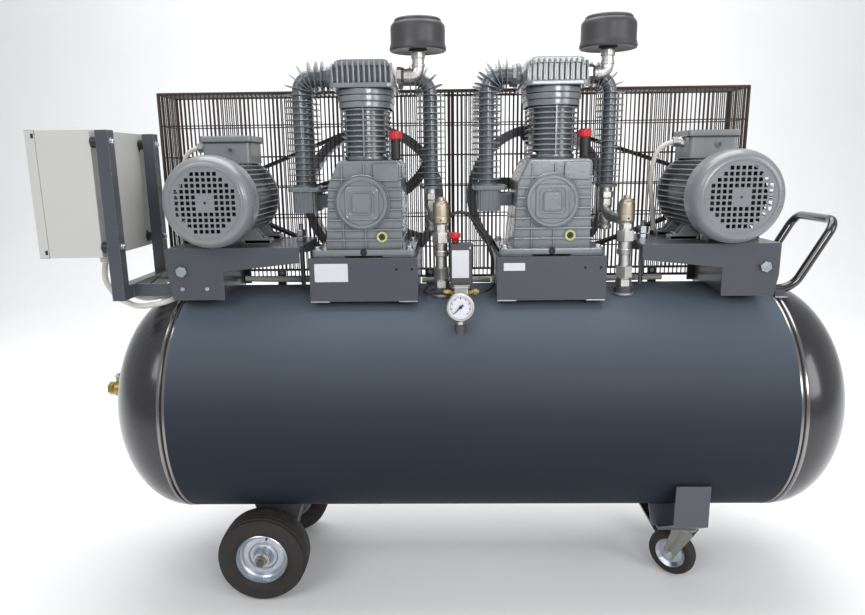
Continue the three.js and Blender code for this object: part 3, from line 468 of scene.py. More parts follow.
    def carve(self, cutter):
        """Cuts another shape out of this one."""
        solid, tool = self.mesh_object("carved"), cutter.mesh_object("cutter")
        change = solid.modifiers.new("cut", "BOOLEAN")
        change.object = tool
        change.solver = "EXACT"
        mesh = solid.evaluated_get(bpy.context.evaluated_depsgraph_get()).to_mesh()
        self.points = [v.co.copy() for v in mesh.vertices]
        self.faces = [list(p.vertices) for p in mesh.polygons]
        self.paints = [self.paints[0]] * len(self.faces)
        for made in (solid, tool):
            bpy.data.objects.remove(made)

    def join(self, other):
        """Takes in all solids of another shape."""
        start = len(self.points)
        self.points += other.points
        self.faces += [[start + i for i in face] for face in other.faces]
        self.paints += other.paints

    def mesh_object(self, name):
        """Blender object with one slot for each finish, smooth except at sharp edges."""
        mesh = bpy.data.meshes.new(name)
        mesh.from_pydata(self.points, [], self.faces)
        finishes = list(dict.fromkeys(self.paints))
        for paint in finishes:
            mesh.materials.append(paint)
        numbers = {paint: i for i, paint in enumerate(finishes)}
        mesh.polygons.foreach_set("material_index", [numbers[p] for p in self.paints])
        mesh.polygons.foreach_set("use_smooth", [True] * len(self.faces))
        bm = bmesh.new()
        bm.from_mesh(mesh)
        for edge in bm.edges:
            edge.smooth = len(edge.link_faces) == 2 and edge.calc_face_angle() < SHARP
        bm.to_mesh(mesh)
        bm.free()
        made = bpy.data.objects.new(name, mesh)
        bpy.context.scene.collection.objects.link(made)
        return made

    def piece(self, name, body, *nodes, slot=None):
        """Makes the visible piece. It rides on a body and may stand for CAD nodes."""
        made = self.mesh_object(name)
        weighted = made.modifiers.new("weighted", "WEIGHTED_NORMAL")
        weighted.keep_sharp = True
        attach(made, body)
        if nodes:
            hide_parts(*nodes)
        return made


# ------------------------------------------------------------------ places read off the frame
STACK_X = {unit: box(f"outlet_stack_{unit}").x1 - 0.023 for unit in UNITS}
STACK_Y = box("outlet_stack_left").y0 + 0.023
JACK_X = {"left": box("motor_plate_left").x1 - 0.023, "right": box("motor_plate_right").x0 + 0.038}
JACK_Y = box("motor_plate_left").y + 0.023


def label_area(unit, x0, x1, z0, z1):
    """Limits of a label, from the left edge and the top edge of a pump bracket."""
    bracket = box(f"pump_bracket_{unit}")
    return bracket.x0 + x0, bracket.x0 + x1, bracket.z1 - z1, bracket.z1 - z0


PORT_Z = box("cylinder_head_left").z1 - 0.031
SHEET_TOP = box("motor_housing_left").z0 - 0.0003
LABELS = {"left": label_area("left", 0.013, 0.095, 0.013, 0.058),
          "right": label_area("right", 0.016, 0.068, 0.015, 0.034)}


# ------------------------------------------------------------------ tank
SEAM_X, DOME, SOCKET = 0.752, 0.194, 0.012
TANK_BOX, VALVE_BOX = box("tank"), box("outlet_valve")
TANK_R = (TANK_BOX.y1 - TANK_BOX.y0) / 2
TANK = SimpleNamespace(x=TANK_BOX.x1 - SEAM_X - DOME, z=TANK_BOX.z0 + SOCKET + TANK_R, r=TANK_R - 0.001)
TANK.at = Vector((TANK.x, 0, TANK.z))
# The valve's body reaches as far down from its axis as it does sideways.
VALVE_AT = Vector((0, 0, VALVE_BOX.z0 + VALVE_BOX.y1))
SWITCH_Y, SWITCH_PORT_Z = box("pressure_switch").y0 + 0.028, box("pressure_switch").z0 + 0.0145


def shell_z(y):
    """Height of the top of the shell at a distance from its middle plane."""
    return TANK.z + math.sqrt(TANK.r ** 2 - y * y)


def tank():
    """Wrap, two domed ends with bright seam rings, the long weld, the drain and the sockets."""
    s = Shape()
    s.rod(TANK.at, X, TANK.r, -SEAM_X + 0.009, SEAM_X - 0.009, WRAP, 160)
    steps, lip, band = 28, 0.006, 0.005
    turns = [i * math.pi / 2 / steps for i in range(steps + 1)]
    for sign in (-1, 1):
        profile = [(TANK.r * math.sin(a), sign * (SEAM_X + lip + (DOME - lip) * math.cos(a))) for a in turns]
        profile[0] = (0, profile[0][1])
        s.lathe(TANK.at, X, profile + [(0, sign * SEAM_X)], END, 160)
        # Painted shade: a near-black band sunk into the seam groove between the two bright rings.
        s.rod(TANK.at + X * sign * (SEAM_X - 0.001), X, TANK.r - 0.0025, -0.011, 0.011, DARK, 160)
        for offset in (-0.0075, 0.0055):
            s.ring(TANK.at + X * (sign * (SEAM_X + offset)), X, TANK.r - 0.004, band, SEAM, 160)
    seam_turn = math.radians(16)
    seam_y, seam_z = TANK.r * math.cos(seam_turn), TANK.z - TANK.r * math.sin(seam_turn)
    s.tube([(TANK.x + a, seam_y, seam_z) for a in (-SEAM_X + 0.02, SEAM_X - 0.02)], 0.002, WRAP)
    drain = Vector((TANK.x, 0, TANK_BOX.z0))
    s.hexagon(drain, Z, 0.014, 0, 0.01, ZINC)
    s.rod(drain, Z, 0.018, 0.004, 0.03, SLATE)
    s.rod(VALVE_AT, X, 0.026, TANK_BOX.x0, TANK_BOX.x0 + 0.03, END)
    for unit in UNITS:
        foot = upright(STACK_X[unit], STACK_Y)
        s.rod(foot, Z, 0.0235, shell_z(STACK_Y - 0.025), box(f"outlet_stack_{unit}").z0 - 0.0005, SLATE)
        s.ring(foot + Z * shell_z(STACK_Y), Z, 0.024, 0.0035, WELD, 32)
    gauge_box, switch = box("gauge_case"), box("pressure_switch")
    gauge_y = gauge_box.y0 + 0.017
    s.rod(upright(gauge_box.x, gauge_y), Z, 0.0122, shell_z(gauge_y - 0.02) - 0.012, gauge_box.z0 - 0.0003,
          DARK_GREY)
    s.rod(upright(switch.x, SWITCH_Y), Z, 0.014, shell_z(SWITCH_Y - 0.02), switch.z0 - 0.0003, SLATE)
    s.piece("tank_shell", "frame", "tank", slot="tank_paint")


# ------------------------------------------------------------------ wheels, casters, handle
def wheel(name):
    """Rubber tyre on a pressed steel rim with rivets and an air valve."""
    sign = -1 if name == "front" else 1
    out = Y * sign
    tyre_box, rim_box = box(f"wheel_{name}_tyre"), box(f"wheel_{name}_rim")
    at = upright(tyre_box.x, 0) + Z * tyre_box.z
    inner, outer = sorted((abs(tyre_box.y0), abs(tyre_box.y1)))
    radius, rim = tyre_box.z - tyre_box.z0, rim_box.z1 - rim_box.z
    bead = rim + 0.0003
    s = Shape()
    s.lathe(at, out, tyre_profile(radius, bead, inner, outer), TYRE, 96)
    s.piece(f"wheel_{name}_tyre_rubber", f"wheel_{name}", f"wheel_{name}_tyre", slot="tyre_rubber")
    lip = outer - 0.011
    hub = [(0.0104, inner + 0.006), (0.02, inner + 0.006), (0.027, outer - 0.036), (0.05, outer - 0.038)]
    flange = [(rim - 0.004, inner + 0.014), (rim, inner + 0.014), (rim, lip), (rim - 0.002, lip + 0.0015),
              (rim - 0.005, lip - 0.003)]
    face = [(rim - 0.0065, outer - 0.026), (rim - 0.011, outer - 0.0305), (rim - 0.015, outer - 0.028),
            (rim - 0.021, outer - 0.027), (rim - 0.029, outer - 0.028), (rim - 0.033, outer - 0.0325),
            (0.03, outer - 0.033), (0.0265, outer - 0.031), (0.023, outer - 0.014), (0.0205, outer - 0.0085),
            (0.0104, outer - 0.008)]
    s = Shape()
    s.lathe(at, out, hub + flange + face, ZINC, 80)
    rivets = 5
    for k in range(rivets):
        spot = polar(at, rim - 0.0245, TURN * (k + 0.25) / rivets) + out * (outer - 0.0282)
        s.rod(spot, out, 0.0042, 0, 0.003, ZINC, 16)
    valve = polar(at, rim - 0.0095, math.radians(75)) + out * (outer - 0.031)
    s.rod(valve, out, 0.003, 0, 0.02, BLACK, 12)
    s.piece(f"wheel_{name}_rim_steel", f"wheel_{name}", f"wheel_{name}_rim", slot="zinc")


def tyre_profile(radius, bead, inner, outer):
    """Round-shouldered tyre with grooves round its flat tread."""
    mid, half = (outer + inner) / 2, (outer - inner) / 2
    grooves, share, deep = 5, 0.68, 0.0035
    tread = []
    for i in range(grooves):
        edge = mid - half * share + 2 * half * share * (i + 0.5) / grooves
        crown = radius - 0.0005 - 0.0022 * ((edge - mid) / (half * share)) ** 2
        tread += [(crown, edge - 0.0065), (crown, edge + 0.0045), (crown - deep, edge + 0.0055)]
        if i < grooves - 1:
            tread.append((crown - deep, edge + 0.0075))
    inside = [(bead, inner + 0.010), (bead + 0.008, inner + 0.003), (radius - 0.030, inner),
              (radius - 0.016, inner + 0.002), (radius - 0.006, inner + 0.007)]
    outside = [(radius - 0.006, outer - 0.007), (radius - 0.016, outer - 0.002), (radius - 0.028, outer),
               (bead + 0.012, outer - 0.002), (bead + 0.008, outer - 0.004), (bead, outer - 0.012)]
    return inside + tread + outside


def caster(name):
    """Rubber wheel on a pressed disc, held by a swivelling fork with ridged legs."""
    swivel, roll = pivot(f"caster_{name}_swivel"), pivot(f"caster_{name}_roll")
    tyre_box, fork_box = box(f"caster_{name}_wheel"), box(f"caster_{name}_fork")
    axle = Vector(JOINTS[f"caster_{name}_roll"]["axis"])
    ahead = axle.cross(Z)
    radius, half = tyre_box.z1 / 2, 0.018
    bead, wall = 0.0405, 0.0165
    s = Shape()
    tyre = [(bead, -half + 0.003), (0.048, -half), (0.056, -half + 0.001), (radius - 0.002, -half + 0.009),
            (radius - 0.0003, 0), (radius - 0.002, half - 0.009), (0.056, half - 0.001), (0.048, half),
            (bead, half - 0.003)]
    s.lathe(roll, axle, tyre, TYRE, 72)
    side = [(0.0055, -0.0195), (0.012, -0.0195), (0.0135, -0.012), (0.03, -0.008), (0.036, -0.0135),
            (bead, -wall)]
    middle = [(bead + 0.0002, -0.012), (bead + 0.0002, 0.012)]
    s.lathe(roll, axle, side + middle + [(r, -y) for r, y in side[::-1]], ZINC, 64)
    s.piece(f"caster_{name}_tyre_and_rim", f"caster_{name}_roller", f"caster_{name}_wheel",
            slot="caster_rubber")
    hub = upright(swivel.x, swivel.y)
    leg = [(swivel.z - 0.017, 0.026), (swivel.z - 0.03, 0.028), (roll.z - 0.012, -0.02),
           (roll.z - 0.014, -0.032), (roll.z - 0.008, -0.043), (roll.z + 0.012, -0.047),
           (swivel.z - 0.035, -0.03), (swivel.z - 0.017, -0.027)]
    ridge = [(roll.z + 0.012, -0.03), (swivel.z - 0.036, -0.004), (swivel.z - 0.02, 0.002)]
    s = Shape()
    for side in (-1, 1):
        sheet = hub + axle * (side * 0.0243)
        s.bridge([sheet + ahead * a + Z * h + axle * push for push in (-0.0017, 0.0017) for h, a in leg],
                 YELLOW_ZINC, 0.001)
        s.bolt(roll + axle * (side * 0.026), axle * side, 0.0078, ZINC)
        crest = hub + axle * (side * 0.0257)
        s.tube([crest + ahead * a + Z * h for h, a in ridge], 0.0032, YELLOW_ZINC, 0.006, 10)
    top = fork_box.z1 - 0.001
    s.lathe(hub, Z, [(0.008, top - 0.021), (0.028, top - 0.021), (0.031, top - 0.018), (0.031, top - 0.012),
                     (0.027, top - 0.009), (0.027, top - 0.001), (0.008, top - 0.001)], YELLOW_ZINC, 48)
    s.rod(roll, axle, 0.005, -0.027, 0.027, ZINC, 20)
    s.piece(f"caster_{name}_fork_steel", f"caster_{name}_yoke", f"caster_{name}_fork", slot="zinc")


def handle():
    """Bent tube on two welded feet."""
    h = box("pull_handle")
    tube, foot_z = 0.0112, TANK_BOX.z1 - 0.007
    top_z, end_x = h.z1 - tube, h.x1 - tube
    half = (h.y1 - h.y0) / 2 - 0.012
    foot_x = end_x - 0.094
    side_path = [(h.x0 + 0.001, foot_z), (foot_x, foot_z), (end_x, top_z)]
    path = [(x, -half, z) for x, z in side_path] + [(x, half, z) for x, z in side_path[::-1]]
    s = Shape()
    s.tube(path, tube, HANDLE, 0.034, 24)
    for side in (-1, 1):
        foot, low = side * half, shell_z(half) - 0.002
        s.block(h.x0 + 0.002, h.x0 + 0.028, foot - 0.011, foot + 0.011, low, foot_z, SLATE, 0.002)
        for edge in (-1, 1):
            y = foot + edge * 0.009
            z = shell_z(y) + 0.0015
            s.tube([(h.x0 + 0.004, y, z), (h.x0 + 0.034, y, z)], 0.003, WELD, sides=8)
    s.piece("handle_tube", "frame", "pull_handle", slot="handle_paint")


# ------------------------------------------------------------------ sheet-metal brackets from the CAD
def sheet_bracket(node, paint, soft=0.0011):
    """Keeps a CAD bracket, merges its triangles into flat faces and rounds its sheet edges."""
    made = frame["nodes"][node]
    made.data.materials.clear()
    made.data.materials.append(paint)
    weld = made.modifiers.new("weld", "WELD")
    weld.merge_threshold = 0.00002
    flat = made.modifiers.new("flat", "DECIMATE")
    flat.decimate_type = "DISSOLVE"
    flat.angle_limit = math.radians(1)
    bevel = made.modifiers.new("edges", "BEVEL")
    bevel.width = soft
    bevel.segments = 2
    bevel.limit_method = "ANGLE"
    bevel.angle_limit = SHARP


def brackets():
    """Painted sheet brackets, the axle nuts and what is fixed to the pump and motor brackets."""
    for node in ("axle_bracket", "caster_bracket", "enclosure_bracket"):
        sheet_bracket(node, SLATE)
    for unit in UNITS:
        for node in ("pump_bracket", "motor_stand", "motor_plate"):
            sheet_bracket(f"{node}_{unit}", SLATE)
    s = Shape()
    for name, sign in (("front", -1), ("back", 1)):
        hub = box(f"wheel_{name}_rim")
        at = Vector((hub.x, hub.y + sign * ((hub.y1 - hub.y0) / 2 - 0.0038), hub.z))
        s.rod(at, Y * sign, 0.0165, 0, 0.002, ZINC, 32)
        s.hexagon(at, Y * sign, 0.0155, 0.002, 0.012, YELLOW_ZINC, 0.3)
        s.rod(at, Y * sign, 0.0098, 0.004, 0.0165, YELLOW_ZINC, 24, 0.002)
    s.piece("axle_nuts", "frame", slot="zinc")
    for unit in UNITS:
        pump_bracket_details(unit)
        pivot_bolts(unit)
        motor_fixings(unit)


def pump_bracket_details(unit):
    """Blank label, two screw holes drawn as painted shade, and a weld under each front corner."""
    p = box(f"pump_bracket_{unit}")
    front = p.y0 - 0.0004
    s = Shape()
    s.prism("y", round_rect(*LABELS[unit], 0.002), front - 0.0004, front + 0.0006, LABEL)
    # Painted shade: flat near-black discs stand in for the two screw holes.
    for dx in (0.081, 0.119):
        s.rod(Vector((p.x + dx, front, p.z1 - 0.028)), Y, 0.0034, -0.0002, 0.001, DARK, 20)
    weld_half, weld_y, weld_z = 0.023, p.y0 + 0.002, p.z0 - 0.0002
    for sign in (-1, 1):
        x = p.x + sign * 0.109
        s.tube([(x - weld_half, weld_y, weld_z), (x + weld_half, weld_y, weld_z)], 0.0026, WELD, sides=10)
    s.piece(f"pump_bracket_{unit}_labels_and_welds", "frame", slot="bracket_paint")


def pivot_bolts(unit):
    """Hex heads on both ends of the motor plate's hinge."""
    plate, hinge = box(f"motor_plate_{unit}"), pivot(f"motor_tilt_{unit}")
    s = Shape()
    for sign, face in ((-1, plate.y0), (1, plate.y1)):
        s.hexagon(Vector((hinge.x, face + sign * 0.0002, hinge.z)), Y * sign, 0.0142, 0, 0.01, ZINC, 0.2)
    s.piece(f"motor_pivot_bolts_{unit}", "frame", slot="zinc")


def motor_fixings(unit):
    """Belt-tension screw with its nuts, and the small screws in the front skirt."""
    plate, hinge = box(f"motor_plate_{unit}"), pivot(f"motor_tilt_{unit}")
    s = Shape()
    at = upright(JACK_X[unit], JACK_Y)
    low, high, pitch = shell_z(JACK_Y) + 0.002, plate.z1 - 0.0003, 0.0025
    core, crest, trough = 0.0054, 0.0063, 0.0056
    turns = int((high - low) / pitch)
    thread = [(crest if k % 2 else trough, low + pitch * (k + 0.5) / 2) for k in range(2 * turns - 1)]
    s.lathe(at, Z, [(0, low), (core, low), *thread, (core, high), (0, high)], ZINC, 24)
    top_nut = SHEET_TOP + 0.0125
    for start, end in ((SHEET_TOP - 0.0142, SHEET_TOP - 0.0052), (SHEET_TOP + 0.0002, SHEET_TOP + 0.0105),
                       (top_nut, top_nut + 0.017)):
        s.hexagon(at, Z, 0.013, start, end, ZINC, start)
    if unit == "left":
        for dx in (-0.003, 0.058):
            spot = Vector((hinge.x + dx, plate.y0, hinge.z - 0.044))
            s.rod(spot, -Y, 0.0052, -0.001, 0.0028, ZINC, 24)
            s.hexagon(spot, -Y, 0.0036, 0.002, 0.0034, ZINC)
    s.piece(f"motor_plate_{unit}_screws", f"motor_{unit}", slot="zinc")


# ------------------------------------------------------------------ pumps
def crankcase(unit):
    """Cast case with a leaning side, ribs all round, a bolted foot and a bearing at the back."""
    c = box(f"crankcase_{unit}")
    at = pivot(f"crank_turn_{unit}")
    x, top, deck = at.x, c.z1, c.z0 + 0.0187
    front, back, shoulder = c.y0 + 0.015, c.y1 - 0.024, c.z1 - 0.057
    outline = [(x - 0.094, deck - 0.004), (x + 0.096, deck - 0.004), (x + 0.097, top - 0.009),
               (x + 0.088, top), (x - 0.055, top), (x - 0.083, shoulder)]
    s = Shape()
    s.prism("y", outline, front, back, PUMP, 0.006)
    s.prism("z", round_rect(c.x0, c.x1, c.y0, back + 0.005, 0.012), c.z0 + 0.003, deck, PUMP, 0.003)
    for sign in (-1, 1):
        x0, x1 = sorted((x + sign * 0.127, x + sign * 0.042))
        s.prism("z", round_rect(x0, x1, c.y0 + 0.001, back + 0.004, 0.01), c.z0, deck - 0.002, PUMP, 0.001)
        for y in (c.y0 + 0.016, back - 0.012):
            s.bolt(Vector((x + sign * 0.1135, y, deck - 0.0005)), Z, 0.0085)
    ribs, first, step = 7, deck + 0.021, 0.0245
    for i in range(ribs):
        z = first + step * i
        if z < shoulder:
            left = x - 0.094 + 0.011 * (z - deck) / (shoulder - deck)
        else:
            left = x - 0.083 + 0.028 * (z - shoulder) / (top - shoulder)
        s.block(left + 0.001, x + 0.0985, front - 0.0045, back - 0.006, z, z + 0.0042, PUMP, 0.0014)
    for dx in (-0.05, 0.004):
        s.block(x + dx, x + dx + 0.004, front - 0.003, front + 0.004, deck, top - 0.012, PUMP, 0.001)
    pad = round_rect(x + 0.028, x + 0.09, top - 0.05, top - 0.008, 0.006)
    s.prism("y", pad, front - 0.005, front + 0.004, PUMP, 0.002)
    s.rod(at, Y, 0.068, front - 0.0045, front + 0.01, PUMP, 64, 0.002)
    bearing = [(0, back - 0.004), (0.058, back - 0.004), (0.054, back + 0.01), (0.044, c.y1 - 0.002),
               (0.042, c.y1), (0, c.y1)]
    s.lathe(at, Y, bearing, PUMP, 64)
    screws = 6
    for k in range(screws):
        s.bolt(polar(at, 0.049, TURN * k / screws) + Y * (back + 0.012), Y, 0.006)
    oil_glass(s, Vector((x + 0.046, front, c.z0 + 0.0487)))
    drain = Vector((x + 0.001, c.y0, c.z0 + 0.0122))
    # Painted shade: a near-black disc round the drain plug stands in for its recess.
    s.rod(drain, -Y, 0.0088, -0.004, 0.0002, DARK, 24)
    s.hexagon(drain, -Y, 0.0066, -0.003, 0.0008, BLACK)
    s.piece(f"crankcase_{unit}_casting", "frame", f"crankcase_{unit}", slot="pump_casting")


def oil_glass(s, at):
    """Round oil level window in a pale rim."""
    rim = [(0, -0.002), (0.0135, -0.002), (0.0135, 0.004), (0.0115, 0.0055), (0.0085, 0.004), (0, 0.0035)]
    s.lathe(at, -Y, rim, GLASS_RIM, 40)
    s.rod(at, -Y, 0.0084, 0.001, 0.0046, SIGHT, 32)
    s.rod(at, -Y, 0.0028, 0.001, 0.0052, DARK, 16)


def crank_cover(unit):
    """Round front cover with raised squares; depths run forwards from the shaft's centre."""
    at = pivot(f"crank_turn_{unit}")
    face = at.y - box(f"crank_cover_{unit}").y0 - 0.0145
    seat, lip = face - 0.0125, face + 0.002
    dish = [(0, seat), (0.0625, seat), (0.063, lip - 0.0035), (0.0605, lip), (0.0545, lip), (0.0535, face),
            (0, face)]
    s = Shape()
    s.lathe(at, -Y, dish, PUMP, 96)
    raised = at.y - face - 0.0003
    widest = 0.0385
    for half, thick in ((widest, 0.0024), (0.031, 0.002), (0.0215, 0.0017)):
        y = raised - (widest - half) * 0.22
        x0, x1, z0, z1 = at.x - half, at.x + half, at.z - half, at.z + half
        square = rounded([(x0, y, z0), (x1, y, z0), (x1, y, z1), (x0, y, z1)], half * 0.3, 6, closed=True)
        s.tube(square, thick, PUMP, sides=10, closed=True)
    for half, height in ((0.0375, 0.0024), (0.0205, 0.006)):
        square = round_rect(at.x - half, at.x + half, at.z - half, at.z + half, half * 0.3)
        s.prism("y", square, raised - height, raised + 0.0068, PUMP, 0.0012)
    s.piece(f"crank_cover_{unit}_casting", "frame", f"crank_cover_{unit}", slot="pump_casting")


def cylinder(unit):
    """Two bores in one oval block with thin fins below and a thick collar under the head."""
    c = box(f"cylinder_block_{unit}")
    x, y0, y1 = c.x, c.y0 + 0.068, c.y1 - 0.068
    s = Shape()
    s.prism("z", stadium(x, y0, y1, 0.0485), c.z0, c.z1, PUMP)
    s.prism("z", stadium(x, y0, y1, 0.0545), c.z0, c.z0 + 0.010, PUMP, 0.002)
    collar = c.z1 - 0.044
    for i in range(3):
        z = collar + 0.0148 * i
        s.prism("z", stadium(x, y0, y1, 0.0672 if i else 0.064), z, z + 0.0138, PUMP, 0.002)
    s.prism("z", stadium(x, y0, y1, 0.0625), collar, c.z1, PUMP)
    fins = 9
    step = (collar - c.z0 - 0.012) / fins
    for i in range(fins):
        z = c.z0 + 0.018 + step * i
        s.prism("z", stadium(x, y0, y1, 0.0588), z, z + 0.0045, PUMP, 0.0014)
    s.block(x - 0.002, x + 0.002, y0 - 0.0592, y0 - 0.04, c.z0 + 0.008, c.z1 - 0.002, PUMP, 0.001)
    for sign in (-1, 1):
        for y in (y0 - 0.03, y1 + 0.03):
            s.bolt(Vector((x + sign * 0.048, y, c.z0 + 0.009)), Z, 0.0065)
    s.piece(f"cylinder_block_{unit}_casting", "frame", f"cylinder_block_{unit}", slot="pump_casting")


def cylinder_head(unit):
    """Domed head with fins that run front to back, a plain band across its front and six bolts."""
    c = box(f"cylinder_head_{unit}")
    half, corner = (c.x1 - c.x0) / 2, 0.03

    def crown(dx):
        """Height of the rounded crown at a distance from the head's middle."""
        over = max(0.0, abs(dx) - (half - corner))
        return c.z1 - corner + math.sqrt(max(0.0, corner ** 2 - over ** 2))

    s = Shape()
    s.prism("z", round_rect(c.x0, c.x1, c.y0, c.y1, 0.02), c.z0, c.z0 + 0.011, PUMP, 0.002)
    steps, inset = 40, 0.0035
    arch = [(c.x + (half - inset) * dx / half, crown(dx) - inset)
            for dx in (half * (2 * i / steps - 1) for i in range(steps + 1))]
    s.prism("y", [(c.x - half + inset, c.z0 + 0.004), *arch, (c.x + half - inset, c.z0 + 0.004)][::-1],
            c.y0 + 0.011, c.y1 - 0.011, PUMP, 0.003)
    fins = 12
    for i in range(fins):
        dx = half * 0.88 * (2 * i / (fins - 1) - 1)
        z = crown(dx)
        outline = [(c.y0 + 0.003, c.z0 + 0.009), (c.y0 + 0.001, z - 0.02), (c.y0 + 0.004, z - 0.007),
                   (c.y0 + 0.014, z - 0.0005), (c.y1 - 0.014, z - 0.0005), (c.y1 - 0.004, z - 0.007),
                   (c.y1 - 0.001, z - 0.02), (c.y1 - 0.003, c.z0 + 0.009)]
        s.prism("x", outline, c.x + dx - 0.0027, c.x + dx + 0.0027, PUMP, 0.0015)
    lid = [(x, z + inset - 0.0006) for x, z in arch[3:-3]]
    under = [(x, z - 0.012) for x, z in arch[3:-3]]
    s.prism("y", [*lid, *under[::-1]], c.y0 + 0.007, c.y0 + 0.02, PUMP, 0.002)
    for dx in (-0.5, 0.5):
        for y in (c.y0 + 0.036, c.y, c.y1 - 0.036):
            spot = Vector((c.x + half * dx, y, c.z1 - 0.0095))
            s.rod(spot, Z, 0.0125, -0.01, 0.003, PUMP, 24)
            s.bolt(spot + Z * 0.003, Z, 0.0062)
    s.piece(f"cylinder_head_{unit}_casting", "frame", f"cylinder_head_{unit}", slot="pump_casting")


TUBE_R, FIN_R, FIN_PITCH, BEND_R = 0.0165, 0.0355, 0.0148, 0.036


def intercooler(unit):
    """Two finned tubes from the head down into a waffle-ribbed chamber beside the crankcase."""
    c = box(f"intercooler_{unit}")
    head, case = box(f"cylinder_head_{unit}"), box(f"crankcase_{unit}")
    x, flange = c.x0 + BEND_R, c.z0 + 0.053
    s = Shape()
    lid = round_rect(x - 0.034, x + 0.05, c.y0 + 0.002, c.y1 - 0.006, 0.014)
    chamber = round_rect(x - 0.02, x + 0.03, c.y0 + 0.01, c.y1 - 0.014, 0.01)
    s.prism("z", lid, flange, flange + 0.011, COOLER, 0.002)
    s.prism("z", chamber, c.z0 + 0.0002, flange + 0.002, COOLER, 0.003)
    rib, low, high = 0.0016, c.z0 + 0.001, flange + 0.001
    for i in range(5):
        middle = x - 0.015 + 0.01 * i
        s.block(middle - rib, middle + rib, c.y0 + 0.0082, c.y1 - 0.0125, low, high, COOLER, 0.001)
    for i in range(13):
        y = c.y0 + 0.016 + 0.01 * i
        s.block(x - 0.0216, x + 0.0316, y - rib, y + rib, low, high, COOLER, 0.001)
    y0, y1 = c.y0 + 0.054, c.y1 - 0.046
    s.block(x + 0.025, case.x - 0.086, y0, y1, c.z0 + 0.011, flange - 0.008, COOLER, 0.004)
    for y in (c.y0 + 0.037, c.y1 - 0.036):
        path = [(x, y, flange + 0.004), (x, y, PORT_Z), (head.x0 - 0.0006, y, PORT_Z)]
        s.finned(path, BEND_R, TUBE_R, FIN_R, FIN_PITCH, COOLER, 0.02)
        port = Vector((head.x0, y, PORT_Z))
        s.rod(port, -X, 0.0245, 0.0004, 0.012, COOLER, 32, 0.002)
        s.hexagon(port, -X, 0.0225, 0.011, 0.021, COOLER)
        s.rod(Vector((x, y, flange + 0.011)), Z, 0.024, 0, 0.006, COOLER, 32)
    s.piece(f"intercooler_{unit}_finned_tubes", "frame", f"intercooler_{unit}", slot="cooler_metal")


def aftercooler(unit):
    """One finned tube from the head down to a nickel union."""
    c = box(f"aftercooler_{unit}")
    head = box(f"cylinder_head_{unit}")
    x, y, port_z = c.x1 - BEND_R, c.y, PORT_Z - 0.002
    foot = upright(x, y) + Z * c.z0
    s = Shape()
    path = [(x, y, c.z0 + 0.034), (x, y, port_z), (head.x1 + 0.0006, y, port_z)]
    s.finned(path, BEND_R, TUBE_R, FIN_R, FIN_PITCH, COOLER, 0.02)
    s.rod(Vector((head.x1, y, port_z)), X, 0.0245, 0.0004, 0.012, COOLER, 32, 0.002)
    s.rod(foot, Z, 0.0275, 0.03, 0.0375, COOLER, 40)
    s.hexagon(foot, Z, 0.0185, 0.002, 0.018, NICKEL)
    s.rod(foot, Z, 0.0155, 0.0004, 0.032, NICKEL)
    s.piece(f"aftercooler_{unit}_finned_tube", "frame", f"aftercooler_{unit}", slot="cooler_metal")


def air_intake(unit):
    """Elbow from the head with a collar at each end, and the filter pot on top."""
    pipe, head = box(f"intake_pipe_{unit}"), box(f"cylinder_head_{unit}")
    pot = box(f"air_filter_{unit}")
    x, y, z = pot.x, pot.y, PORT_Z
    port, elbow, stem = Vector((head.x1, y, z)), Vector((x, y, z)), upright(x, y)
    s = Shape()
    s.tube([port + X * 0.001, elbow, stem + Z * (pipe.z1 - 0.0004)], 0.0148, PIPE, 0.0155, 28)
    s.rod(port, X, 0.0195, 0.0004, 0.012, PIPE, 6)
    s.rod(port, X, 0.0175, 0.011, 0.018, DARK_GREY, 32)
    s.rod(elbow - X * 0.0245, X, 0.0166, 0, 0.007, PIPE, 32, 0.001)
    s.rod(elbow + Z * 0.0175, Z, 0.0166, 0, 0.007, PIPE, 32, 0.001)
    s.rod(stem, Z, 0.0172, pipe.z1 - 0.017, pipe.z1 - 0.0006, PIPE, 32, 0.002)
    s.piece(f"intake_pipe_{unit}_metal", "frame", f"intake_pipe_{unit}", slot="bright_pipe")
    low, high = pot.z0, pot.z1
    base = [(0, low + 0.004), (0.045, low + 0.004), (0.058, low + 0.001), (0.0665, low),
            (0.0688, low + 0.004), (0.0672, low + 0.012), (0.0655, low + 0.018), (0.0655, low + 0.05),
            (0.0648, low + 0.057)]
    cap = [(0.0605, low + 0.063), (0.0575, low + 0.0645), (0.0565, low + 0.07), (0.0535, high - 0.001),
           (0.02, high), (0, high)]
    s = Shape()
    s.lathe(stem, Z, base + cap, FILTER, 96)
    s.rod(stem, Z, 0.022, low - 0.0002, low + 0.01, BLACK)
    s.piece(f"air_filter_{unit}_housing", "frame", f"air_filter_{unit}", slot="filter_plastic")


def breather(unit):
    """Black tube with a knurled red cap."""
    c = box(f"breather_{unit}")
    at = upright(c.x, c.y)
    s = Shape()
    s.rod(at, Z, 0.0118, c.z0, c.z0 + 0.054, BLACK, 40, 0.001)
    s.ring(at + Z * (c.z0 + 0.003), Z, 0.0125, 0.002, BLACK, 32)
    s.rod(at, Z, 0.0148, c.z1 - 0.021, c.z1 - 0.001, RED, 40, 0.003)
    knurls = 20
    for k in range(knurls):
        spot = at + level_arm(k / knurls) * 0.0146
        s.rod(spot, Z, 0.0016, c.z1 - 0.0195, c.z1 - 0.0045, RED, 8, 0.0005)
    s.piece(f"breather_{unit}_tube_and_cap", "frame", f"breather_{unit}", slot="red_plastic")


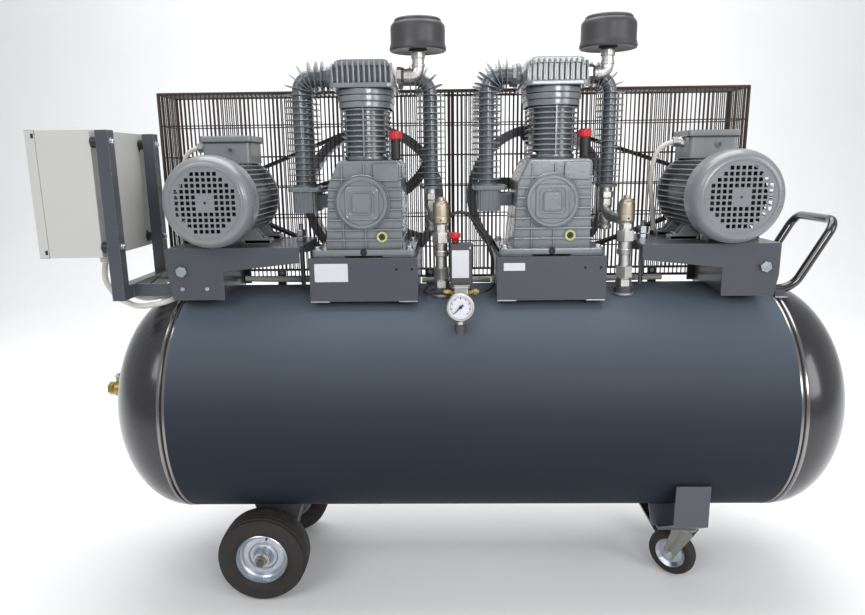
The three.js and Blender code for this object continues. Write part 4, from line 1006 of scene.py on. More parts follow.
def outlet_stack(unit):
    """Unions, check valve and safety valve in one upright, fed from the side by the aftercooler."""
    c = box(f"outlet_stack_{unit}")
    foot = upright(STACK_X[unit], STACK_Y) + Z * c.z0
    s = Shape()
    s.hexagon(foot, Z, 0.0205, 0, 0.018, NICKEL)
    s.rod(foot, Z, 0.0172, 0.016, 0.026, NICKEL, 32, 0.003)
    s.hexagon(foot, Z, 0.0215, 0.022, 0.052, NICKEL, 0.4)
    s.rod(foot, Z, 0.0145, 0.05, 0.082, NICKEL, 32)
    s.rod(foot, Z, 0.0195, 0.08, 0.095, PIPE, 40, 0.002)
    s.rod(foot, Z, 0.0158, 0.09, 0.116, NICKEL, 32)
    s.hexagon(foot, Z, 0.0228, 0.114, 0.140, NICKEL, 0.2)
    s.rod(foot, Z, 0.0165, 0.138, 0.165, NICKEL, 32, 0.002)
    s.hexagon(foot, Z, 0.0185, 0.146, 0.158, NICKEL)
    safety = [(0, 0.16), (0.016, 0.16), (0.0206, 0.165), (0.0206, 0.178), (0.0196, 0.18), (0.0203, 0.182),
              (0.0203, 0.206), (0.019, 0.212), (0.0155, 0.216), (0.0155, 0.2185), (0.0095, 0.2195),
              (0.009, 0.2275), (0, 0.228)]
    s.lathe(foot, Z, safety, VALVE, 48)
    vents = 6
    # Painted shade: near-black dots stand in for the safety valve's vent holes.
    for k in range(vents):
        s.rod(foot + Z * 0.1715, level_arm((k + 0.5) / vents), 0.0024, 0.0195, 0.0208, DARK, 12, 0.0002)
    outlet_elbow(s, unit, foot + Z * 0.17)
    s.piece(f"outlet_stack_{unit}_fittings", "frame", f"outlet_stack_{unit}", slot="nickel")


def outlet_elbow(s, unit, feed):
    """Bend from under the aftercooler's union into the side of the stack."""
    after = box(f"aftercooler_{unit}")
    x, y, top = after.x1 - BEND_R, after.y, after.z0
    s.tube([(x, y, top - 0.0002), (x, y, feed.z + 0.004), feed - Z * 0.008], 0.0128, NICKEL, 0.024, 24)
    s.rod(upright(x, y), Z, 0.0165, feed.z - 0.034, feed.z - 0.02, NICKEL, 32, 0.002)
    knuckle = [(0, -0.018), (0.013, -0.016), (0.0172, -0.006), (0.0178, 0.003), (0.014, 0.012), (0, 0.017)]
    s.lathe(Vector((x, y, feed.z - 0.004)), Z, knuckle, NICKEL, 32)
    s.hexagon(upright(x, y), Z, 0.0168, top - 0.0175, top - 0.0003, NICKEL)
    s.rod(upright(x, y), Z, 0.016, feed.z + 0.022, feed.z + 0.030, NICKEL, 32)


def crankshaft(unit):
    """Journals, webs and one offset pin, drawn smooth inside the CAD crankshaft's limits."""
    c = box(f"crankshaft_{unit}")
    at = pivot(f"crank_turn_{unit}")
    webs, thick = (-0.076, 0.044), 0.014
    s = Shape()
    s.rod(at, Y, 0.0188, webs[1] + 0.008, c.y1, STEEL, 48, 0.002)
    s.rod(at, Y, 0.0158, c.y0, webs[0] + 0.006, STEEL, 48, 0.002)
    s.rod(at + Z * 0.03, Y, 0.0168, webs[0] + 0.006, webs[1] + 0.006, STEEL, 48)
    half = [(0.025, 0.049), (0.03, 0), (0.047, -0.03), (0.03, -0.061)]
    outline = half + [(-dx, dz) for dx, dz in half[::-1]]
    for y in webs:
        s.prism("y", [(at.x + dx, at.z + dz) for dx, dz in outline], y, y + thick, STEEL, 0.003)
    s.bolt(at + Y * (c.y1 - 0.0105), Y, 0.011)
    s.piece(f"crankshaft_{unit}_steel", f"crank_{unit}", f"crankshaft_{unit}", slot="machined_steel")


GROOVES, GROOVE_PITCH, GROOVE_START = 2, 0.02, 0.047


def grooved(outer, back, deep):
    """Outline of the two V-belt grooves of a pulley that ends at back."""
    points = []
    for k in range(GROOVES):
        y = back - GROOVE_START + GROOVE_PITCH * k
        points += [(outer, y), (outer - deep, y + 0.004), (outer - deep, y + 0.014), (outer, y + 0.018)]
    return points


def flywheel(unit):
    """Grooved rim, hub and five curved spokes that fan air over the pump."""
    c = box(f"flywheel_{unit}")
    at = pivot(f"crank_turn_{unit}")
    outer, inner = (c.x1 - c.x0) / 2 - 0.0005, (c.x1 - c.x0) / 2 - 0.0245
    front, back = c.y1 - 0.056, c.y1
    rim_outline = [(inner, front), (outer, front), *grooved(outer, back, 0.011), (outer, back), (inner, back)]
    s = Shape()
    s.lathe(at, Y, rim_outline, IRON, 128)
    s.rod(at, Y, 0.04, front - 0.0035, back - 0.004, IRON, 64, 0.003)
    spokes = 5
    for i in range(spokes):
        flywheel_spoke(s, at + Y * ((front + back) / 2), TURN * i / spokes, outer)
    s.piece(f"flywheel_{unit}_casting", f"crank_{unit}", f"flywheel_{unit}", slot="flywheel_iron")


def flywheel_spoke(s, at, start, outer):
    """Flat bar that curves round and untwists as it goes outwards."""
    steps, root, curl, half, thick, slope = 8, 0.034, 0.55, 0.016, 0.005, 0.012
    points = []
    for k in range(steps + 1):
        share = k / steps
        reach = root + (outer - 0.05) * share
        angle = start + curl * share
        twist = slope * (1 - 0.4 * share)
        low = polar(at, reach, angle - half / reach) - Y * twist
        high = polar(at, reach, angle + half / reach) + Y * twist
        points += [low - Y * thick, low + Y * thick, high + Y * thick, high - Y * thick]
    faces = [[0, 1, 2, 3], [len(points) - 1 - k for k in range(4)]]
    faces += [[4 * k + j, 4 * k + (j + 1) % 4, 4 * k + 4 + (j + 1) % 4, 4 * k + 4 + j]
              for k in range(steps) for j in range(4)]
    s.add(points, faces, IRON, 0.0015)


# ------------------------------------------------------------------ motors
GLAND = {"left": MOTOR, "right": NICKEL}


def motor_housing(unit):
    """Finned motor body with lugs at the back, feet below and the terminal box on top."""
    at = pivot(f"rotor_turn_{unit}")
    s = Shape()
    body = [(0, -0.1494), (0.085, -0.1494), (0.085, 0.076), (0.1, 0.0765), (0.1005, 0.088), (0.096, 0.0925),
            (0.07, 0.096), (0.05, 0.1015), (0.0, 0.1015)]
    s.lathe(at, Y, body, MOTOR, 96)
    fins, top_clear, foot_clear = 44, 0.86, -0.93
    for k in range(fins):
        angle = TURN * (k + 0.5) / fins
        if foot_clear <= math.sin(angle) <= top_clear:
            out, side = spoke(angle), spoke(angle + TURN / 4) * 0.0012
            profile = ((0.08, -1.5), (0.1035, -1), (0.1035, 1), (0.08, 1.5))
            s.bridge([at + out * reach + side * across + Y * y for y in (-0.146, 0.074)
                      for reach, across in profile], MOTOR)
    lugs = 4
    for k in range(lugs):
        spot = polar(at, 0.0925, TURN * (k + 0.5) / lugs)
        s.rod(spot, Y, 0.0085, 0.066, 0.0905, MOTOR, 24, 0.002)
        s.bolt(spot + Y * 0.0905, Y, 0.0055)
    motor_feet(s, at, box(f"motor_housing_{unit}").z0)
    terminal_box(s, at, box(f"motor_housing_{unit}").z1, GLAND[unit])
    s.piece(f"motor_housing_{unit}_casting", f"motor_{unit}", f"motor_housing_{unit}", slot="motor_paint")


def motor_feet(s, at, sole):
    """Two bolted feet a side, each between a pair of webs."""
    inner, outer, wide = 0.044, 0.1115, 0.034
    web = [(0.03, at.z - 0.072), (0.064, at.z - 0.062), (0.09, sole + 0.016), (0.111, sole + 0.012),
           (outer, sole), (inner, sole)]
    for side in (-1, 1):
        outline = [(at.x + side * dx, z) for dx, z in web]
        x0, x1 = sorted((at.x + side * inner, at.x + side * outer))
        for y in (-0.078, 0.028):
            s.prism("y", outline, y, y + 0.005, MOTOR, 0.001)
            s.prism("y", outline, y + wide - 0.005, y + wide, MOTOR, 0.001)
            s.block(x0, x1, y, y + wide, sole, sole + 0.011, MOTOR, 0.002)
            s.bolt(Vector((at.x + side * 0.097, y + wide / 2, sole + 0.011)), Z, 0.0085)


def terminal_box(s, at, top, gland_finish):
    """Neck, box and lid with a dark seal, four screws, a blanked entry and the cable gland."""
    front, back, base, lid = at.y - 0.032, at.y + 0.086, at.z + 0.088, top - 0.016

    def plate(half, y0, y1, corner, low, high, paint, soft=0.0):
        s.prism("z", round_rect(at.x - half, at.x + half, y0, y1, corner), low, high, paint, soft)

    plate(0.0605, front + 0.001, back - 0.001, 0.01, base, lid + 0.001, MOTOR, 0.002)
    plate(0.042, front + 0.014, back - 0.016, 0.01, base - 0.018, base + 0.002, MOTOR)
    plate(0.0655, front - 0.0035, back + 0.0035, 0.009, lid, top - 0.0005, MOTOR, 0.003)
    plate(0.0645, front - 0.003, back + 0.003, 0.009, lid - 0.0025, lid - 0.0005, BLACK)
    entry = Vector((at.x + 0.012, front, top - 0.036))
    s.rod(entry, -Y, 0.0085, -0.002, 0.003, MOTOR, 24)
    s.rod(entry, -Y, 0.0055, 0.001, 0.0042, DARK_GREY, 20)
    for dx in (-0.056, 0.056):
        for y in (front + 0.006, back - 0.006):
            s.rod(Vector((at.x + dx, y, top - 0.0012)), Z, 0.004, 0, 0.0012, ZINC, 20, 0.0003)
    gland = Vector((at.x, 0.02, at.z + 0.13))
    s.hexagon(gland, -X, 0.0138, 0.06, 0.069, gland_finish)
    s.rod(gland, -X, 0.0118, 0.066, 0.0765, gland_finish, 28, 0.002)
    s.hexagon(gland, -X, 0.0132, 0.074, 0.0875, gland_finish, 0.3)


def fan_cover(unit):
    """Pressed cap with a rounded shoulder and a grid of square holes round a blank middle."""
    c = box(f"fan_cover_{unit}")
    at = pivot(f"rotor_turn_{unit}")
    r, front, back = (c.x1 - c.x0) / 2 - 0.0004, c.y0, c.y1
    lip, deep, steps, gauge_y = 0.0865, 0.034, 12, 0.0022
    turns = [math.pi / 2 * k / steps for k in range(steps + 1)]
    shoulder = [(lip + (r - lip) * math.sin(a), front + 0.0012 + deep * (1 - math.cos(a))) for a in turns]
    inside = [(radius - gauge_y, y + gauge_y) for radius, y in shoulder[::-1]]
    edge = [(r, back - 0.006), (r - 0.0006, back), (r - 0.0028, back)]
    bead = [(0.0822, front + 0.0024), (0.0832, front + 0.0003), (0.0852, front + 0.0001)]
    s = Shape()
    s.lathe(at, Y, [*bead, *shoulder, *edge, *inside, (0.0822, front + 0.0048)], MOTOR, 120)
    screws = 4
    for k in range(screws):
        out = spoke(TURN * (k + 0.5) / screws)
        s.rod(at + out * (r - 0.0026) + Y * (back - 0.012), out, 0.0042, 0, 0.0022, ZINC, 20, 0.0006)
    plate = Shape()
    plate.rod(at, Y, 0.0832, front + 0.0018, front + 0.0038, MOTOR, 96, 0.0002)
    plate.carve(fan_holes(at, front - 0.004, front + 0.01))
    s.join(plate)
    s.piece(f"fan_cover_{unit}_pressed_steel", f"motor_{unit}", f"fan_cover_{unit}", slot="motor_paint")


def fan_holes(at, front, back):
    """Square cutters on a grid, and one round one in the middle."""
    holes = Shape()
    pitch, half, reach, blank = 0.0132, 0.0044, 0.0745, 0.016
    cells = int(reach / pitch) + 1
    steps = [pitch * i for i in range(-cells, cells + 1)]
    for dx in steps:
        for dz in steps:
            x, z = at.x + dx, at.z + dz
            if math.hypot(dx, dz) <= reach and max(abs(dx), abs(dz)) >= blank:
                holes.block(x - half, x + half, front, back, z - half, z + half, MOTOR, 0)
    holes.rod(at, Y, 0.003, front, back, MOTOR, 16)
    return holes


def rotor(unit):
    """Motor shaft with its cooling fan behind the cover and its belt pulley at the back."""
    c = box(f"motor_rotor_{unit}")
    at = pivot(f"rotor_turn_{unit}")
    fan, hub_r, tip_r = c.y0 + 0.036, 0.02, 0.083
    s = Shape()
    s.rod(at, Y, 0.0138, c.y0 + 0.001, c.y1, STEEL, 40, 0.002)
    s.rod(at, Y, 0.0255, c.y0 + 0.005, c.y0 + 0.04, BLACK, 40, 0.002)
    blades, half = 8, 0.0014
    blade = ((hub_r, half), (tip_r, half), (tip_r, -half), (hub_r, -half))
    for k in range(blades):
        out, side = spoke(TURN * k / blades), spoke(TURN * k / blades + TURN / 4)
        s.bridge([at + out * reach + side * across + Y * y for y in (c.y0 + 0.006, fan)
                  for reach, across in blade], BLACK)
    disc = [(hub_r, fan), (tip_r, fan), (tip_r, fan + 0.0025), (hub_r, fan + 0.0025)]
    s.lathe(at, Y, disc, BLACK, 64)
    back, outer = box(f"flywheel_{unit}").y1, 0.0575
    front = back - 0.058
    recess = [(0.036, back), (0.033, back - 0.006), (0.022, back - 0.006), (0.02, back - 0.0005), (0, back)]
    pulley = [(0, front), (outer, front), *grooved(outer, back, 0.010), (outer, back), *recess]
    s.lathe(at, Y, pulley, IRON, 80)
    s.piece(f"motor_rotor_{unit}_shaft_fan_and_pulley", f"rotor_{unit}", f"motor_rotor_{unit}",
            slot="machined_steel")


def belts(unit):
    """Two V-belts between the fixed pump and the tilting motor, baked as one mesh that stays put when the
    motor tilts.
    """
    big, small = pivot(f"crank_turn_{unit}"), pivot(f"rotor_turn_{unit}")
    wheel_box = box(f"flywheel_{unit}")
    big_r, small_r = (wheel_box.x1 - wheel_box.x0) / 2 - 0.004, 0.054
    gap = small - big
    along = math.atan2(gap.z, gap.x)
    lean = math.acos((big_r - small_r) / math.hypot(gap.x, gap.z))
    wraps = ((big, big_r, along + lean, along + TURN - lean, 60),
             (small, small_r, along - lean, along + lean, 30))
    section = [(-0.0062, 0.0035), (0.0062, 0.0035), (0.004, -0.005), (-0.004, -0.005)]
    straight_steps = 12
    s = Shape()
    for k in range(GROOVES):
        y = wheel_box.y1 - GROOVE_START + 0.009 + GROOVE_PITCH * k
        arcs = []
        for centre, radius, start, end, steps in wraps:
            middle = Vector((centre.x, y, centre.z))
            arcs.append([polar(middle, radius, start + (end - start) * i / steps) for i in range(steps + 1)])
        belt_path = []
        for arc, following in (arcs, arcs[::-1]):
            shares = [i / straight_steps for i in range(1, straight_steps)]
            belt_path += arc + [arc[-1].lerp(following[0], share) for share in shares]
        s.sweep(belt_path, section, BELT, closed=True)
    made = s.mesh_object(f"drive_belts_{unit}")
    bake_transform(made)
    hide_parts(f"drive_belt_{unit}")


# ------------------------------------------------------------------ belt guard
GUARD_HOLE = 0.082


def open_spans(start, end, crossings):
    """Parts of a bar left between round holes, each given as (place along the bar, distance off it)."""
    spans = []
    for middle, off in sorted(crossings):
        reach = GUARD_HOLE ** 2 - off ** 2
        if reach > 0:
            spans.append((start, middle - math.sqrt(reach)))
            start = middle + math.sqrt(reach)
    return [(a, b) for a, b in [*spans, (start, end)] if b - a > 0.002]


def between(low, high, count):
    """Evenly spaced places strictly between two ends."""
    return [low + (high - low) * i / count for i in range(1, count)]


def belt_guard():
    """Wire box round both belt drives, open round the four shafts at the front."""
    g = box("belt_guard")
    post, pitch, rows = 0.0045, 0.0115, 6
    wire, cross, rail = 0.0018, 0.0017, 0.0036
    x0, x1, y0, y1 = g.x0 + post, g.x1 - post, g.y0 + post, g.y1 - post
    z0, z1 = g.z0 + 0.023, g.z1 - post
    columns, side_columns = round((x1 - x0) / pitch), round((y1 - y0) / pitch)
    shafts = [pivot(f"{kind}_turn_{unit}") for kind in ("crank", "rotor") for unit in UNITS]
    s = Shape()

    def bar(a, b, radius, sides=8):
        s.tube([a, b], radius, WIRE, sides=sides)

    for y, holes, behind in ((y0, shafts, y0 + 0.0024), (y1, [], y1 - 0.0024)):
        for x in between(x0, x1, columns):
            for low, high in open_spans(z0, z1, [(hole.z, x - hole.x) for hole in holes]):
                bar((x, y, low), (x, y, high), wire, 5)
        for z in between(z0, z1, rows):
            for low, high in open_spans(x0, x1, [(hole.x, z - hole.z) for hole in holes]):
                bar((low, behind, z), (high, behind, z), cross, 6)
    for x in (x0, x1):
        for y in between(y0, y1, side_columns):
            bar((x, y, z0), (x, y, z1), wire, 5)
        for z in between(z0, z1, rows):
            bar((x, y0, z), (x, y1, z), cross, 6)
    for x in between(x0, x1, columns):
        bar((x, y0, z1), (x, y1, z1), wire, 5)
    bar((x0, (y0 + y1) / 2, z1 + 0.0015), (x1, (y0 + y1) / 2, z1 + 0.0015), cross, 6)
    for hole in shafts:
        s.ring(Vector((hole.x, y0, hole.z)), Y, GUARD_HOLE, 0.003, WIRE, 64, 8)
    middle, half_gap = g.x - 0.0015, 0.005
    uprights = (x0, middle - half_gap, middle + half_gap, x1)
    for y in (y0, y1):
        for z in (z0, z1):
            bar((x0, y, z), (x1, y, z), rail)
        for x in uprights:
            bar((x, y, z0), (x, y, z1), rail)
    for x in uprights:
        for z in (z0, z1):
            bar((x, y0, z), (x, y1, z), rail)
    feet_x = (-0.488, -0.068, 0.112, 0.552)
    for foot in feet_x:
        s.block(foot - 0.012, foot + 0.012, y0 - 0.003, y0 + 0.001, g.z0, z0 + 0.02, SLATE, 0.0008)
        s.bolt(Vector((foot, y0 - 0.0025, z0 + 0.011)), -Y, 0.004)
    s.piece("belt_guard_mesh", "frame", "belt_guard", slot="guard_wire")


# ------------------------------------------------------------------ control enclosure
CASE, DOOR, WALL = box("enclosure_box"), box("enclosure_door"), 0.002
BACK_X, MOUTH_X = CASE.x1, DOOR.x1 + 0.0003
CASE_Y, CASE_Z = (DOOR.y0 + 0.001, DOOR.y1 + 0.0005), (DOOR.z0 + 0.001, DOOR.z1 - 0.001)
CABLE_X, CABLE_Y = CASE.x1 - 0.026, (CASE.y0 + 0.063, CASE.y0 + 0.101)


def rim(s, x0, x1, ys, zs, width, soft, tuck=0.0):
    """Four strips just inside an upright rectangle that faces X; the level ones are `tuck` shorter."""
    (y0, y1), (z0, z1) = ys, zs
    for start in (y0, y1 - width):
        s.block(x0, x1, start, start + width, z0, z1, CABINET, soft)
    for start in (z0, z1 - width):
        s.block(x0, x1, y0 + tuck, y1 - tuck, start, start + width, CABINET, soft)


def enclosure():
    """Sheet cabinet on its bracket, with the gear inside, wall slots drawn as painted shade, cable glands and
    hinges.
    """
    hinge = pivot("enclosure_door_swing")
    (y0, y1), (z0, z1) = CASE_Y, CASE_Z
    s = Shape()
    s.block(BACK_X - WALL, BACK_X, y0, y1, z0, z1, CABINET, 0.0018)
    rim(s, MOUTH_X, BACK_X - 0.0005, CASE_Y, CASE_Z, WALL, 0.0008, 0.0005)
    rim(s, MOUTH_X, MOUTH_X + 0.0015, CASE_Y, CASE_Z, 0.012, 0.0004)
    enclosure_gear(s, BACK_X - 0.012)
    # Painted shade: flat near-black ovals stand in for the slots in the back wall.
    oval = [(0.0045 * math.cos(TURN * k / 20), 0.007 * math.sin(TURN * k / 20)) for k in range(20)]
    for y in (y0 + 0.035, y1 - 0.035):
        for z in (z0 + 0.035, z1 - 0.04):
            s.prism("x", [(y + dy, z + dz) for dy, dz in oval], BACK_X - 0.0005, BACK_X + 0.0004, DARK)
    for y in CABLE_Y:
        at = Vector((CABLE_X, y, z0))
        s.hexagon(at, -Z, 0.0145, 0.0002, 0.007, CABLE)
        s.rod(at, -Z, 0.0122, 0.006, 0.0205, CABLE, 32, 0.003)
    for z in (z0 + 0.040, z1 - 0.070):
        s.rod(Vector((hinge.x, hinge.y, z)), Z, 0.0038, 0, 0.03, CABINET, 24)
        s.block(hinge.x, MOUTH_X + 0.02, y1, hinge.y - 0.0005, z + 0.001, z + 0.029, CABINET, 0.0008)
    s.piece("enclosure_body_and_gear", "frame", "enclosure_box", slot="cabinet_paint")
    enclosure_door()
    enclosure_buffers()


def enclosure_buffers():
    """Rubber buffers between the cabinet and the uprights of its bracket, with a bolt each."""
    post = box("enclosure_bracket")
    buffer = [(0, 0.0004), (0.0122, 0.0004), (0.0128, 0.003), (0.0128, 0.013), (0.0122, 0.0156), (0, 0.0156)]
    s = Shape()
    for y in (post.y0 + 0.015, post.y1 - 0.015):
        for z in (post.z1 - 0.027, CASE.z0 + 0.046):
            at = Vector((BACK_X, y, z))
            s.lathe(at, X, buffer, BLACK, 32)
            s.bolt(at + X * 0.046, X, 0.0065)
    s.piece("enclosure_buffers", "frame", slot="black_plastic")


def enclosure_gear(s, plate):
    """Back plate with three rails: terminals below, contactors in the middle, relays above."""
    (y0, y1), (z0, z1) = CASE_Y, CASE_Z
    low, middle, high = z0 + 0.054, z0 + 0.134, z0 + 0.224
    rail = plate - 0.009
    s.block(plate - WALL, plate, y0 + 0.02, y1 - 0.02, z0 + 0.02, z1 - 0.02, ZINC, 0.0005)
    for z in (middle, high, low):
        s.block(rail, plate - WALL, y0 + 0.028, y1 - 0.028, z - 0.0175, z + 0.0175, ZINC, 0.001)
    for i in range(4):
        y = y0 + 0.043 + 0.052 * i
        s.block(plate - 0.06, rail, y, y + 0.045, middle - 0.035, middle + 0.04, DARK_GREY, 0.002)
        s.block(plate - 0.068, plate - 0.058, y + 0.008, y + 0.037, middle - 0.019, middle + 0.023, BLACK,
                0.002)
        for k in range(3):
            for z in (middle - 0.028, middle + 0.033):
                screw = Vector((plate - 0.0605, y + 0.01 + 0.0125 * k, z))
                s.rod(screw, -X, 0.0035, 0, 0.002, BRASS, 12, 0.0003)
    for i in range(18):
        y = y0 + 0.04 + 0.0115 * i
        paint = CABLE if i % 3 else BRASS
        s.block(plate - 0.045, rail, y, y + 0.0098, low - 0.021, low + 0.021, paint, 0.001)
    for i in range(3):
        y = y0 + 0.053 + 0.07 * i
        s.block(plate - 0.055, rail, y, y + 0.055, high - 0.023, high + 0.031, DARK_GREY, 0.002)
        s.rod(Vector((plate - 0.055, y + 0.027, high + 0.005)), -X, 0.01, 0, 0.006, BLACK if i else RED, 24)


def enclosure_door():
    """Lipped door with a rubber seal, two side clips and two slotted locks."""
    d, front = DOOR, DOOR.x0 + 0.003
    s = Shape()
    s.block(front, front + WALL, d.y0, d.y1, d.z0, d.z1, CABINET, 0.0018)
    rim(s, front + 0.0005, d.x1, (d.y0, d.y1), (d.z0, d.z1), WALL, 0.0009)
    inset = 0.012
    corners = [(d.y0 + inset, d.z0 + inset), (d.y1 - inset, d.z0 + inset), (d.y1 - inset, d.z1 - inset),
               (d.y0 + inset, d.z1 - inset)]
    seal = rounded([(d.x1 - 0.003, y, z) for y, z in corners], 0.006, 5, closed=True)
    s.tube(seal, 0.003, BLACK, sides=8, closed=True)
    clip_x0, clip_x1, clip_half = d.x1 - 0.0085, d.x1 - 0.0015, 0.0055
    for z in (d.z0 + 0.014, d.z1 - 0.014):
        s.block(clip_x0, clip_x1, d.y0 - 0.0006, d.y0 + 0.004, z - clip_half, z + clip_half, BLACK, 0.001)
    for z in (d.z0 + 0.041, d.z1 - 0.041):
        y = d.y0 + 0.025
        s.rod(Vector((front, y, z)), -X, 0.0095, -0.001, 0.0018, ZINC, 32)
        s.rod(Vector((front, y, z)), -X, 0.007, 0.001, 0.0028, BLACK, 32)
        s.block(front - 0.003, front - 0.0024, y - 0.0045, y + 0.0045, z - 0.001, z + 0.001, ZINC, 0.0002)
    s.piece("enclosure_door_panel", "door", "enclosure_door", slot="cabinet_paint")


# ------------------------------------------------------------------ controls and fittings
def pressure_switch():
    """Plastic case with a blank label on a nickel block, two brass ports and the red knob."""
    c, k = box("pressure_switch"), box("switch_knob")
    x0, x1 = c.x - 0.0275, c.x + 0.0275
    y0, y1, z0, z1 = c.y0 + 0.002, c.y1, c.z1 - 0.1, c.z1
    s = Shape()
    s.prism("z", round_rect(x0, x1, y0, y1, 0.006), z0, z1, DARK_GREY, 0.0025)
    front = round_rect(x0 + 0.003, x1 - 0.003, c.y0, y0 + 0.004, 0.0015, 3)
    label = round_rect(x0 + 0.0045, x1 - 0.009, z0 + 0.018, z1 - 0.014, 0.001, 2)
    s.prism("z", front, z0 + 0.004, z1 - 0.004, DARK_GREY, 0.001)
    s.prism("y", label, c.y0 - 0.0003, c.y0 + 0.0004, LABEL)
    s.rod(Vector((x1 - 0.006, c.y0, z1 - 0.009)), -Y, 0.0028, -0.001, 0.0006, ZINC, 16, 0.0003)
    s.rod(Vector((k.x, k.y, z1)), Z, 0.0085, -0.001, 0.003, BLACK, 32)
    block = round_rect(x0 + 0.010, x1 - 0.010, SWITCH_Y - 0.017, SWITCH_Y + 0.017, 0.004)
    flange = round_rect(x0 + 0.006, x1 - 0.006, SWITCH_Y - 0.019, SWITCH_Y + 0.019, 0.004)
    s.prism("z", block, c.z0 + 0.008, z0 + 0.001, NICKEL, 0.0015)
    for z in (z0 - 0.004, z0 - 0.010):
        s.prism("z", flange, z, z + 0.003, NICKEL, 0.001)
    for sign in (-1, 1):
        at = Vector((c.x, SWITCH_Y, SWITCH_PORT_Z))
        s.rod(at, X * sign, 0.0062, 0.01, 0.034, BRASS, 32)
        s.hexagon(at, X * sign, 0.0088, 0.018, 0.025, BRASS)
        s.hexagon(at, X * sign, 0.0082, 0.031, 0.0405, BRASS, 0.3)
        s.rod(at, X * sign, 0.005, 0.04, 0.0448, BRASS, 24)
    s.hexagon(Vector((c.x, SWITCH_Y, c.z0)), Z, 0.0122, 0.0004, 0.009, NICKEL)
    s.piece("pressure_switch_body", "frame", "pressure_switch", slot="black_plastic")
    at, top = upright(k.x, k.y), k.z1
    s = Shape()
    s.lathe(at, Z, [(0, k.z0), (0.0048, k.z0), (0.0048, top - 0.02), (0.008, top - 0.0185),
                    (0.0125, top - 0.012), (0.0135, top - 0.006), (0.0125, top - 0.0015), (0.008, top),
                    (0, top)], RED, 48)
    knurls = 12
    for i in range(knurls):
        s.rod(at + level_arm(i / knurls) * 0.0122, Z, 0.0014, top - 0.013, top - 0.002, RED, 8, 0.0004)
    s.piece("switch_knob_red", "knob", "switch_knob", slot="red_plastic")


def gauge():
    """Round pressure gauge: case, dial with plain ticks, stem and hand."""
    c = box("gauge_case")
    at = pivot("gauge_needle_sweep")
    r, rear, glass = 0.0335, 0.0255, 0.0034
    case = [(0, rear), (r - 0.005, rear), (r - 0.001, 0.0215), (r - 0.001, 0.006), (r, 0.004),
            (r + 0.0002, 0), (r - 0.0014, -0.0024), (r - 0.0034, -0.0028), (r - 0.0042, -0.001),
            (r - 0.0042, glass), (0, glass)]
    s = Shape()
    s.lathe(at, Y, case, NICKEL, 96)
    s.rod(at, Y, r - 0.0044, 0.002, 0.0035, DIAL, 80, 0.0002)
    face, ticks, first, last = 0.0019, 40, math.radians(225), math.radians(-45)
    for i in range(ticks + 1):
        major = i % 5 == 0
        inner, outer, half = (0.0195 if major else 0.0225), 0.0252, (0.0008 if major else 0.0004)
        angle = first + (last - first) * i / ticks
        out, side = spoke(angle), spoke(angle + TURN / 4) * half
        s.bridge([at + out * reach + side * across + Y * y for y in (face - 0.0003, face + 0.0004)
                  for reach, across in ((inner, -1), (outer, -1), (outer, 1), (inner, 1))], INK)
    stem = upright(at.x, at.y + 0.014)
    s.rod(stem, Z, 0.0075, c.z0 + 0.001, at.z - 0.028, NICKEL, 24)
    s.hexagon(stem, Z, 0.0105, c.z0, c.z0 + 0.009, NICKEL)
    s.piece("gauge_case_and_dial", "frame", "gauge_case", slot="zinc")
    tail, tip = -0.0085, 0.0225
    hand = [(tail, -0.0022), (0.0, -0.0019), (tip, -0.0005), (tip, 0.0005), (0.0, 0.0019), (tail, 0.0022)]
    out, side = spoke(first), spoke(first + TURN / 4)
    s = Shape()
    s.bridge([at + out * a + side * b + Y * y for y in (-0.0012, -0.0005) for a, b in hand], INK)
    s.rod(at, Y, 0.0038, -0.0018, -0.0003, INK, 24, 0.0003)
    s.piece("gauge_needle_hand", "needle", "gauge_needle", slot="black_plastic")


def outlet_valve():
    """Brass ball valve on the end of the tank and its lever with a red grip."""
    c, lever = box("outlet_valve"), box("outlet_valve_lever")
    stem = pivot("outlet_lever_turn")
    near, far = -c.x1, -c.x0
    ball = [(0, 0.01), (0.016, 0.01), (0.0218, 0.017), (0.0218, 0.031), (0.016, 0.039), (0, 0.039)]
    s = Shape()
    s.hexagon(VALVE_AT, -X, 0.0185, near, near + 0.011, BRASS)
    s.lathe(VALVE_AT, -X, [(radius, near + along) for radius, along in ball], BRASS, 48)
    s.hexagon(VALVE_AT, -X, 0.018, near + 0.038, far, BRASS, 0.2)
    # Painted shade: a near-black disc stands in for the valve's bore.
    s.rod(VALVE_AT, -X, 0.0118, far - 0.004, far + 0.0002, DARK, 32, 0.0001)
    s.rod(upright(stem.x, stem.y), Z, 0.0082, VALVE_AT.z + 0.016, c.z1, BRASS, 32)
    s.piece("outlet_valve_body", "frame", "outlet_valve", slot="brass")
    x0, x1, z = stem.x - 0.0095, stem.x + 0.0095, lever.z0
    arm = round_rect(x0, x1, lever.y0 + 0.001, lever.y1 - 0.04, 0.006)
    grip = round_rect(x0 - 0.002, x1 + 0.002, lever.y1 - 0.044, lever.y1 - 0.0005, 0.009)
    s = Shape()
    s.prism("z", arm, z, z + 0.0028, ZINC, 0.0006)
    s.prism("z", grip, z, z + 0.006, RED, 0.002)
    s.hexagon(Vector((stem.x, stem.y, z)), Z, 0.0068, 0.002, 0.009, ZINC)
    s.piece("outlet_valve_handle", "lever", "outlet_valve_lever", slot="lever_grip")


